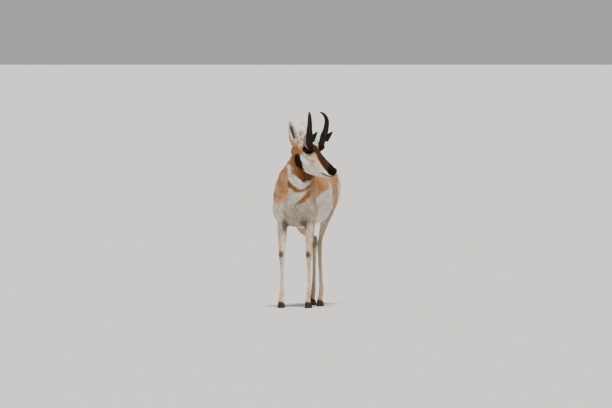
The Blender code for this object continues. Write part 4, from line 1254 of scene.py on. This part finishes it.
def melted(name, bm, voxel, rounds):
    """Melts overlapping forms into one smooth skin."""
    item = mesh_object(name, bm)
    remesh = item.modifiers.new("melt", "REMESH")
    remesh.mode = "VOXEL"
    remesh.voxel_size = voxel
    smooth = item.modifiers.new("smooth", "SMOOTH")
    smooth.factor = 0.5
    smooth.iterations = rounds
    evaluated_copy(item)
    return item


def sink_in(item, extra):
    """Draws the skin in by the depth of the coat that will lie on it, and by an extra depth."""
    points, normals = mesh_arrays(item.data)
    depth = coat_facts(points)[1] + extra(points)
    move_vertices(item.data, points - normals * depth[:, None])


def above_cut(points):
    """Height over the plane where the head's skin and the body's meet."""
    return (points - np.array(NECK_CUT)) @ np.array(NECK_CUT_WAY)


def neck_top(points):
    """Draws the body's end of the neck in, so that it stays under the head's."""
    near = gap_to(points, NECK_CUT, (1, 1, 1)) < 0.16
    return 0.010 * step(above_cut(points), 0.0, 0.03) * near


def neck_end(points):
    """Draws the lower end of the head's skin in, so that it dives under the body's."""
    return 0.013 * step(-above_cut(points), 0.0, HEAD_SKIN_REACH)


def make_skin():
    """One closed skin of body, head and ears, with the openings of the face."""
    body = melted("body_skin", body_form(), BODY_SKIN_VOXEL, BODY_SKIN_SMOOTH)
    sink_in(body, neck_top)
    head = melted("head_skin", head_form(), HEAD_SKIN_VOXEL, HEAD_SKIN_SMOOTH)
    trim_low(head)
    sink_in(head, neck_end)
    tree = skin_tree(head)
    cutters = [mouth_groove(tree)]
    for name, side in SIDES:
        cutters.append(eyeball("socket_" + name, side, EYE_R + GAP, *SOCKET_MESH))
        cutters.append(lid_opening(side))
        cutters.append(nostril(side))
    combine(head, cutters, "DIFFERENCE")
    extras = [body]
    for side in BOTH:
        extras.append(ear(side, *EAR_POSES[side]))
        extras.append(lid_ring(side))
        extras.append(brow_fold(tree, side))
    unite(head, extras)
    head.name = "skin"
    head.data.name = "skin"
    return head


def trim_low(item):
    """Takes the lower neck off the head's skin, where the body's own carries on."""
    bm = form_of(item)
    bmesh.ops.bisect_plane(
        bm, geom=bm.verts[:] + bm.edges[:] + bm.faces[:], dist=0.00001,
        plane_co=NECK_CUT - NECK_CUT_WAY * HEAD_SKIN_REACH, plane_no=NECK_CUT_WAY, clear_inner=True)
    bmesh.ops.holes_fill(bm, edges=[edge for edge in bm.edges if edge.is_boundary], sides=0)
    bmesh.ops.triangulate(bm, faces=[face for face in bm.faces if len(face.verts) > 4])
    bm.to_mesh(item.data)
    bm.free()


def lid_ring(side):
    """Rolled rim of the lids round the opening, thicker above."""
    rings = []
    steps = 28
    for i in range(steps):
        angle = 2 * pi * i / steps
        forward = (LID_WIDE + 0.0005) * cos(angle)
        up = (LID_TALL + 0.0002) * sin(angle) * (1 - 0.22 * abs(cos(angle))) + 0.0035
        flat = (forward * forward + up * up) ** 0.5
        out = (EYE_R * EYE_R - min(flat, EYE_R * 0.98) ** 2) ** 0.5 + 0.0006
        centre = EYE + Vector((out, forward, up))
        towards = Vector((0, forward, up)).normalized()
        thick = 0.0022 + 0.0010 * max(0.0, sin(angle))
        ring = []
        for k in range(8):
            turn = 2 * pi * k / 8
            offset = Vector((cos(turn) * thick, 0, 0)) + towards * (thick * (1.5 * sin(turn) + 0.9))
            ring.append(in_head(centre + offset, side))
        rings.append(ring)
    bm = bmesh.new()
    rows = [[bm.verts.new(point) for point in ring] for ring in rings]
    for i in range(steps):
        low = rows[i]
        high = rows[(i + 1) % steps]
        for k in range(8):
            after = (k + 1) % 8
            bm.faces.new((low[k], low[after], high[after], high[k]))
    return mesh_object("lid_ring_" + str(side), bm)


def lid_spot(side, angle, wide, tall, rise, out):
    """Point of the rim round the eye, with `out` more or less sideways."""
    spot = EYE + Vector((out, wide * cos(angle), tall * sin(angle) + rise))
    return in_head(spot, side)


def brow_fold(tree, side):
    """Soft fold of skin over the upper lid."""
    steps = 14
    inward = (in_head((-side, 0, 0)) - in_head((0, 0, 0))).normalized()
    rings = []
    for i in range(steps + 1):
        angle = radians(12 + 156 * i / steps)
        hit = tree.ray_cast(lid_spot(side, angle, 0.0310, 0.0245, 0.003, 0.08), inward)
        if hit[0] is None:
            continue
        thick = 0.0008 + 0.0030 * sin(pi * i / steps)
        outward = (hit[0] - in_head(EYE, side)).normalized()
        along = hit[1].cross(outward).normalized()
        deep = thick * 1.3
        rings.append(section(hit[0], hit[1], along.cross(hit[1]), thick * 0.8, deep, deep, 2.0, 8))
    return lofted("brow_fold_" + str(side), rings)


def make_lashes(side):
    """Dark lashes on the upper lid."""
    draw = np.random.default_rng(41)
    roots = np.zeros((LASHES, 3))
    ways = np.zeros((LASHES, 3))
    for i, angle in enumerate(np.radians(draw.uniform(18, 158, LASHES))):
        root = lid_spot(side, angle, 0.0215, 0.0150, 0.0045, 0.0100 + 0.0075 * sin(angle))
        tip = lid_spot(side, angle, 0.0310, 0.0215, 0.0010, 0.0270)
        roots[i] = root
        ways[i] = (tip - root).normalized()
    outs = along_skin(np.tile(np.array(HEAD_UP), (LASHES, 1)), ways)
    lengths = draw.uniform(*LASH_LENGTHS, LASHES)
    lifts = -draw.uniform(0.001, 0.003, LASHES)
    sways = draw.normal(size=LASHES) * 0.001
    colours = np.tile(np.array(BLACK), (LASHES, 1))
    spots = chart_spots(roots, np.full(LASHES, LABELS.index("head")))
    return strand_mesh("lashes_" + str(side), roots, outs, ways, lengths, np.full(LASHES, LASH_WIDTH),
                       lifts, sways, colours, spots, 3)


def horn_sheath(name, side):
    """The horn with rounded edges, and long grooves and warts at its foot."""
    rough = horn(name + "_rough", side, SHEATH_GROW)
    bm = form_of(rough)
    bpy.data.objects.remove(rough)
    item = melted(name, bm, SHEATH_VOXEL, SHEATH_SMOOTH)
    points, normals = mesh_arrays(item.data)
    low = step(0.10 - (points[:, 2] - horn_foot(side).z), 0.0, 0.07)
    grooves = ripple(points * np.array((1.0, 1.0, 0.12)), 0.0075, 51)
    warts = ripple(points, 0.014, 52)
    offset = 0.0007 * grooves * (0.35 + 0.65 * low) + 0.0010 * warts * low
    move_vertices(item.data, points + normals * offset[:, None])
    return item


def colour_mesh(mesh, colours):
    """Stores a colour for each vertex."""
    layer = mesh.color_attributes.new(name="coat", type="FLOAT_COLOR", domain="POINT")
    rgba = np.ones((len(mesh.vertices), 4), dtype=np.float32)
    rgba[:, :3] = np.clip(colours, 0, 1)
    layer.data.foreach_set("color", rgba.ravel())


# Tufts
def unit_rows(rows):
    """Each row at length 1."""
    return rows / (np.linalg.norm(rows, axis=1)[:, None] + 1e-9)


def along_skin(ways, normals):
    """The part of each way that is square to its normal, at length 1."""
    return unit_rows(ways - normals * (ways * normals).sum(axis=1)[:, None])


def tuft_faces(rings):
    """Faces of one tuft, and for each corner how far it faces (off the skin, aside, to the tip).

    Its two upper sides are shaded almost like the skin below, and its underside the other way.
    """
    tip = rings * 3
    aside = (-TUFT_ROUND, TUFT_ROUND, 0.0)
    faces = [(0, 1, 2)]
    turns = [(0.0, 0.0, -1.0)] * 3

    def put(corners, under):
        faces.append(corners)
        for corner in corners:
            if under:
                turns.append((-1.0, 0.0, 0.0))
            elif corner == tip:
                turns.append((1.0, 0.0, 0.3))
            else:
                turns.append((1.0, aside[corner % 3], 0.0))

    for k in range(rings):
        low = k * 3
        for i in range(3):
            j = (i + 1) % 3
            if k == rings - 1:
                put((low + i, tip, low + j), i == 0)
                continue
            put((low + i, low + j + 3, low + j), i == 0)
            put((low + i, low + i + 3, low + j + 3), i == 0)
    return faces, np.array(turns)


def tuft_places(roots, normals, ways, across, lengths, widths, lifts, sways, colours, rings):
    """Corners of all tufts, and their colours: flat triangles in rings, and a tip; each tuft's colour is
    painted darker towards its root as shade.
    """
    places = np.zeros((len(roots), rings * 3 + 1, 3))
    shades = np.zeros(places.shape)
    for k in range(rings + 1):
        part = k / rings
        rise = sin(part * TUFT_BULGE * pi) / sin(TUFT_BULGE * pi) if part < 1 else 0.90
        centre = roots + ways * (lengths * part)[:, None] + across * (sways * part * part)[:, None]
        centre = centre + normals * (lifts * min(rise, 1.05) - ROOT_SINK * (1 - part))[:, None]
        # painted shade: dark at the root, rising to a little over the marking's own colour at the tip
        shade = ROOT_SHADE + (1.0 - ROOT_SHADE) * min(1.0, part * 1.6) + 0.10 * part
        low = k * 3
        shades[:, low:low + 3] = (colours * shade)[:, None, :]
        if k == rings:
            places[:, -1] = centre
            continue
        wide = widths * (1.0 if part < 0.6 else 0.75) * (0.75 if k == 0 else 1.0)
        places[:, low] = centre - across * wide[:, None]
        places[:, low + 1] = centre + across * wide[:, None]
        places[:, low + 2] = centre + normals * (wide * 0.55)[:, None]
    return places, shades


def triangle_mesh(name, places, corners):
    """Mesh of triangles, smooth shaded."""
    mesh = bpy.data.meshes.new(name)
    mesh.vertices.add(len(places))
    mesh.vertices.foreach_set("co", places.ravel().astype(np.float32))
    mesh.loops.add(corners.size)
    mesh.loops.foreach_set("vertex_index", corners.ravel())
    mesh.polygons.add(len(corners))
    mesh.polygons.foreach_set("loop_start", np.arange(len(corners), dtype=np.int32) * 3)
    mesh.update(calc_edges=True)
    mesh.shade_smooth()
    return mesh


def strand_mesh(name, roots, normals, ways, lengths, widths, lifts, sways, colours, spots, rings=2):
    """One object of closed tapered tufts, with its turned normals, colours and UV map."""
    across = unit_rows(np.cross(ways, normals))
    places, shades = tuft_places(roots, normals, ways, across, lengths, widths, lifts, sways, colours, rings)
    per = places.shape[1]
    faces, turns = tuft_faces(rings)
    pattern = np.array(faces, dtype=np.int32)
    corners = (pattern[None] + (np.arange(len(roots)) * per)[:, None, None]).reshape(-1, 3)
    mesh = triangle_mesh(name, places.reshape(-1, 3), corners)
    facing = (normals[:, None] * turns[None, :, :1] + across[:, None] * turns[None, :, 1:2]
              + ways[:, None] * turns[None, :, 2:])
    facing /= np.linalg.norm(facing, axis=2)[:, :, None]
    mesh.normals_split_custom_set(facing.reshape(-1, 3).tolist())
    colour_mesh(mesh, shades.reshape(-1, 3))
    patch = np.zeros((per, 2))
    for k in range(per):
        patch[k] = ((k % 3 - 1) * PATCH / 2, (k // 3) / rings * PATCH - PATCH / 2)
    uv_points = spots[:, None, :] + patch[None]
    write_uv(mesh, uv_points.reshape(-1, 2)[corners.ravel()])
    return placed(name, mesh)


def sample_skin(skin, count, weigh, seed):
    """Random places on the skin, thicker where `weigh` is larger."""
    draw = np.random.default_rng(seed)
    mesh = skin.data
    mesh.calc_loop_triangles()
    corners = read_rows(mesh.loop_triangles, "vertices", 3, np.int32)
    points, normals = mesh_arrays(mesh)
    a, b, c = (points[corners[:, k]] for k in range(3))
    area = np.linalg.norm(np.cross(b - a, c - a), axis=1) / 2
    chance = area * weigh((a + b + c) / 3)
    chance = chance / chance.sum()
    chosen = draw.choice(len(corners), size=count, p=chance)
    r = np.sqrt(draw.random(count))[:, None]
    t = draw.random(count)[:, None]
    places = a[chosen] * (1 - r) + b[chosen] * (r * (1 - t)) + c[chosen] * (r * t)
    return places, unit_rows(sum(normals[corners[chosen, k]] for k in range(3)))


def may_grow(points):
    """False where no tuft may grow: eyes, lips, nose pad, hooves and the feet of the horns."""
    s, a, u = to_head(points).T
    s = np.abs(s)
    eye = np.hypot(a - EYE.y, (u - EYE.z - 0.003) * 1.30)
    clear = ~((eye < 0.0275) & (s > 0.030))
    clear &= ~((a > 0.286) & (u > -0.012))
    clear &= ~((np.abs(u - lip_line(a)) < 0.0028) & (a > 0.240))
    clear &= points[:, 2] > 0.040
    for side in BOTH:
        foot = np.array(horn_foot(side))
        in_sheath = np.linalg.norm((points - foot)[:, :2], axis=1) < 0.0195
        clear &= ~(in_sheath & (np.abs(points[:, 2] - foot[2] - 0.014) < 0.012))
    return clear


def coat_density(points):
    """How thick the tufts stand: more where the hair is short, and most on the head."""
    weights = near_bones(points)
    head = weights[:, HEAD_ROWS].sum(axis=1)
    short = weights[:, SHORT_HAIR_ROWS].sum(axis=1)
    dense = 1.0 + 2.2 * step(short, 0.35, 0.65) + 2.4 * step(head, 0.40, 0.60)
    return dense * may_grow(points)


def make_coat(skin):
    """Tufts over the whole skin, in pieces of a set size."""
    points, normals = sample_skin(skin, COAT_TUFTS, coat_density, 21)
    clear = may_grow(points)
    points = points[clear]
    normals = normals[clear]
    count = len(points)
    draw = np.random.default_rng(22)
    ways, depth, lengths, widths, labels = coat_facts(points)
    ways = along_skin(ways + draw.normal(size=ways.shape) * TUFT_STRAY, normals)
    colours = marks(points + ways * (lengths * HALF_WAY)[:, None], normals)
    lightness = colours.mean(axis=1)
    flank = step(lightness, 0.40, 0.55) * (labels == LABELS.index("torso")) * step(points[:, 1], 0.0, 0.04)
    clump = ripple(points * np.array((1.0, 1.0, 0.30)), 0.022, 9)
    lengths = lengths * draw.uniform(*TUFT_LENGTHS, count) * (1.0 + 0.55 * flank)
    widths = widths * draw.uniform(*TUFT_WIDTHS, count)
    lifts = depth * draw.uniform(*TUFT_LIFTS, count)
    lifts = lifts * (0.85 + 0.15 * clump + 0.60 * flank * np.clip(clump, 0, 1))
    sways = draw.normal(size=count) * lengths * 0.10
    pale = step(lightness, 0.36, 0.50) * (labels != LABELS.index("head"))
    tone = draw.uniform(0.80, 1.12, count) * (1.0 + (0.10 + 0.16 * pale) * clump)
    facts = (points, normals, ways, lengths, widths, lifts, sways, colours * tone[:, None],
             chart_spots(points, labels))
    order = np.argsort(labels, kind="stable")
    made = []
    for number, start in enumerate(range(0, count, TUFTS_A_PIECE)):
        pick = order[start:start + TUFTS_A_PIECE]
        made.append(strand_mesh("coat_%02d" % number, *(fact[pick] for fact in facts)))
    return made


def along_neck(count, draw):
    """Random places in the neck, with the ways across, to the nape and down from there."""
    places = draw.uniform(MANE_LOWEST, MANE_TOP, count)
    centres = np.zeros((count, 3))
    napes = np.zeros((count, 3))
    sides = np.zeros((count, 3))
    downs = np.zeros((count, 3))
    axes = [neck_axes(i) for i in range(len(NECK))]
    for i, place in enumerate(places):
        low = int(place)
        part = place - low
        for store, k in ((centres, 0), (sides, 1), (napes, 2)):
            store[i] = axes[low][k].lerp(axes[low + 1][k], part)
        downs[i] = (axes[low][0] - axes[low + 1][0]).normalized()
    return centres, sides, napes, downs


def make_mane(tree):
    """Long dark hair down the nape, in overlapping locks."""
    draw = np.random.default_rng(31)
    centres, sides, napes, downs = along_neck(MANE_HAIRS, draw)
    fan = draw.normal(size=MANE_HAIRS) * radians(MANE_FAN)
    rows = []
    for centre, side, nape, down, angle in zip(centres, sides, napes, downs, fan):
        out = Vector(nape * cos(angle) + side * sin(angle)).normalized()
        centre = Vector(centre)
        hit = tree.ray_cast(centre + out * 0.25, -out)
        if hit[0] is None or (hit[0] - centre).length > MANE_REACH:
            continue
        way = square_to(Vector(down) + Vector(draw.normal(size=3) * 0.12), hit[1])
        rows.append((hit[0], hit[1], way, angle))
    points, normals, ways = (np.array([list(row[k]) for row in rows]) for k in range(3))
    angles = np.abs(np.array([row[3] for row in rows]))
    count = len(points)
    lengths = draw.uniform(*MANE_LENGTHS, count)
    widths = draw.uniform(*MANE_WIDTHS, count)
    lifts = draw.uniform(*MANE_LIFTS, count)
    sways = draw.normal(size=count) * 0.006
    dark = np.tile(np.array(DARK), (count, 1)) * draw.uniform(0.7, 1.8, count)[:, None]
    colours = paint(dark, step(angles, 0.22, 0.50), TAN) * draw.uniform(0.8, 1.1, count)[:, None]
    labels = np.full(count, LABELS.index("neck"))
    return strand_mesh("mane", points, normals, ways, lengths, widths, lifts, sways, colours,
                       chart_spots(points, labels), 4)


def finish_piece(item, look, slot, *nodes):
    wear(item, look)
    item.data.transform(Matrix.Translation(SHIFT))
    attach(item, "root")
    if nodes:
        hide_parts(*nodes)


# Materials
def wear(item, look):
    """Makes this the only material of an object."""
    item.data.materials.clear()
    item.data.materials.append(look)


def set_inputs(node, values):
    """Sets inputs of a node by their names."""
    for socket, value in values.items():
        node.inputs[socket].default_value = value


def new_node(tree, kind, values):
    """Shader node with some of its inputs set."""
    node = tree.nodes.new("ShaderNode" + kind)
    set_inputs(node, values)
    return node


def new_material(name, values):
    """Material, its tree and its shader, with some of the shader's inputs set."""
    made = bpy.data.materials.new(name)
    made.use_nodes = True
    shader = made.node_tree.nodes["Principled BSDF"]
    set_inputs(shader, values)
    return made, made.node_tree, shader


def add_noise(tree, scale, detail=3.0, roughness=0.5, stretch=(1.0, 1.0, 1.0)):
    """Noise in the object's own space, stretched along its axes."""
    place = tree.nodes.new("ShaderNodeTexCoord")
    mapping = new_node(tree, "Mapping", {"Scale": stretch})
    noise = new_node(tree, "TexNoise", {"Scale": scale, "Detail": detail, "Roughness": roughness})
    tree.links.new(place.outputs["Object"], mapping.inputs["Vector"])
    tree.links.new(mapping.outputs["Vector"], noise.inputs["Vector"])
    return noise.outputs["Fac"]


def add_ramp(tree, shader, value, tones, ends=(0.0, 1.0)):
    """Base colour that goes from one tone to the other as a value rises."""
    ramp = tree.nodes.new("ShaderNodeValToRGB")
    for element, colour, end in zip(ramp.color_ramp.elements, tones, ends):
        element.position = end
        element.color = (*colour, 1.0)
    tree.links.new(value, ramp.inputs["Fac"])
    tree.links.new(ramp.outputs["Color"], shader.inputs["Base Color"])


def add_bump(tree, shader, height, strength, distance):
    """Fine relief on the surface."""
    relief = new_node(tree, "Bump", {"Strength": strength, "Distance": distance})
    tree.links.new(height, relief.inputs["Height"])
    tree.links.new(relief.outputs["Normal"], shader.inputs["Normal"])


def coat_material(name, roughness, bump):
    """Hair: the stored markings, mottled a little, with fine bump."""
    made, tree, shader = new_material(name, {"Roughness": roughness, "Specular IOR Level": 0.04})
    colour = tree.nodes.new("ShaderNodeVertexColor")
    colour.layer_name = "coat"
    mottle = new_node(tree, "MapRange", {"From Min": 0.3, "From Max": 0.7, "To Min": 0.84, "To Max": 1.10})
    tree.links.new(add_noise(tree, 60.0), mottle.inputs["Value"])
    mix = tree.nodes.new("ShaderNodeMix")
    mix.data_type = "RGBA"
    mix.blend_type = "MULTIPLY"
    mix.inputs["Factor"].default_value = 1.0
    tree.links.new(colour.outputs["Color"], mix.inputs["A"])
    tree.links.new(mottle.outputs["Result"], mix.inputs["B"])
    tree.links.new(mix.outputs["Result"], shader.inputs["Base Color"])
    add_bump(tree, shader, add_noise(tree, 900.0, 2.0), bump, 0.0006)
    return made


def horn_material(name, tones, scale, lengthwise):
    """Dark keratin with lengthwise grooves and paler wear."""
    made, tree, shader = new_material(name, {"Roughness": 0.50, "Specular IOR Level": 0.12})
    grain = add_noise(tree, scale, 6.0, 0.65, (1.0, 1.0, lengthwise))
    add_ramp(tree, shader, grain, tones, (0.35, 0.72))
    add_bump(tree, shader, grain, 0.6, 0.0015)
    return made


def eye_material():
    """Wet, nearly black eye with a faint brown iris."""
    made, tree, shader = new_material("eye_wet", {
        "Roughness": 0.12, "Specular IOR Level": 0.05, "Coat Weight": 0.20, "Coat Roughness": 0.05})
    add_ramp(tree, shader, add_noise(tree, 90.0), EYE_TONES)
    return made


def floor_material():
    """Pale, faintly mottled paper."""
    made, tree, shader = new_material("floor_pale", {"Roughness": 0.85})
    add_ramp(tree, shader, add_noise(tree, 2.0), FLOOR_TONES)
    return made


# Studio
def studio():
    """Pale floor and background, and one soft key light."""
    world = bpy.data.worlds.new("studio")
    bpy.context.scene.world = world
    world.use_nodes = True
    set_inputs(world.node_tree.nodes["Background"], {"Color": WORLD_COLOUR, "Strength": WORLD_STRENGTH})
    bm = bmesh.new()
    bmesh.ops.create_circle(bm, cap_ends=True, segments=96, radius=FLOOR_RADIUS)
    floor = mesh_object("floor", bm)
    floor.location = (0, 0, -FLOOR_DROP)
    wear(floor, floor_material())
    sun = bpy.data.lights.new("key", "SUN")
    sun.energy = SUN_STRENGTH
    sun.angle = radians(SUN_WIDTH)
    sun.color = SUN_COLOUR
    placed("key", sun).rotation_euler = Vector(SUN_FROM).to_track_quat("Z", "Y").to_euler()


def photo_camera():
    """Camera at the photo's angle, at its distance and framing."""
    tilt = radians(VIEW_TILT)
    towards, right = level_ways(VIEW_TURN)
    back = towards * cos(tilt) + Vector((0, 0, sin(tilt)))
    target = right * AIM[0] + Vector((0, 0, AIM[1])) + SHIFT
    data = bpy.data.cameras.new("camera")
    data.lens = LENS
    data.sensor_width = SENSOR
    data.clip_end = 1000.0
    camera = placed("camera", data)
    camera.matrix_world = Matrix((right, back.cross(right), back)).transposed().to_4x4()
    camera.location = target + back * (LENS / SENSOR * FRAME_WIDTH)
    bpy.context.scene.camera = camera


def main():
    """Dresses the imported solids."""
    photo_camera()
    studio()
    coat_look = coat_material("coat_hair", 0.70, 0.25)
    skin_look = coat_material("coat_skin", 0.80, 0.5)
    horn_look = horn_material("horn_sheath", HORN_TONES, 60.0, 0.18)
    hoof_look = horn_material("hoof_wall", HOOF_TONES, 90.0, 0.25)
    eye_look = eye_material()
    skin = make_skin()
    tree = skin_tree(skin)
    # the skin's colours, darkened by SKIN_SHADE as painted shade under the tufts
    colour_mesh(skin.data, marks(*mesh_arrays(skin.data)) * SKIN_SHADE)
    skin_uv(skin.data)
    skin.data.shade_smooth()
    hair = make_coat(skin)
    hair.append(make_mane(tree))
    hair += [make_lashes(side) for side in BOTH]
    hard = ("eye", "horn", "fore_hoof", "hind_hoof")
    flesh = [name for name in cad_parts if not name.startswith(hard)]
    finish_piece(skin, skin_look, "coat", *flesh)
    for piece in hair:
        finish_piece(piece, coat_look, "coat")
    for name, side in SIDES:
        eye = eyeball("eye_ball_" + name, side, EYE_R, *EYE_MESH)
        sheath = horn_sheath("horn_sheath_" + name, side)
        eye.data.shade_smooth()
        sheath.data.shade_smooth()
        finish_piece(eye, eye_look, "eye", "eye_" + name)
        finish_piece(sheath, horn_look, "horn", "horn_" + name)
    for name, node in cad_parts.items():
        if "hoof" in name:
            wear(node, hoof_look)


main()
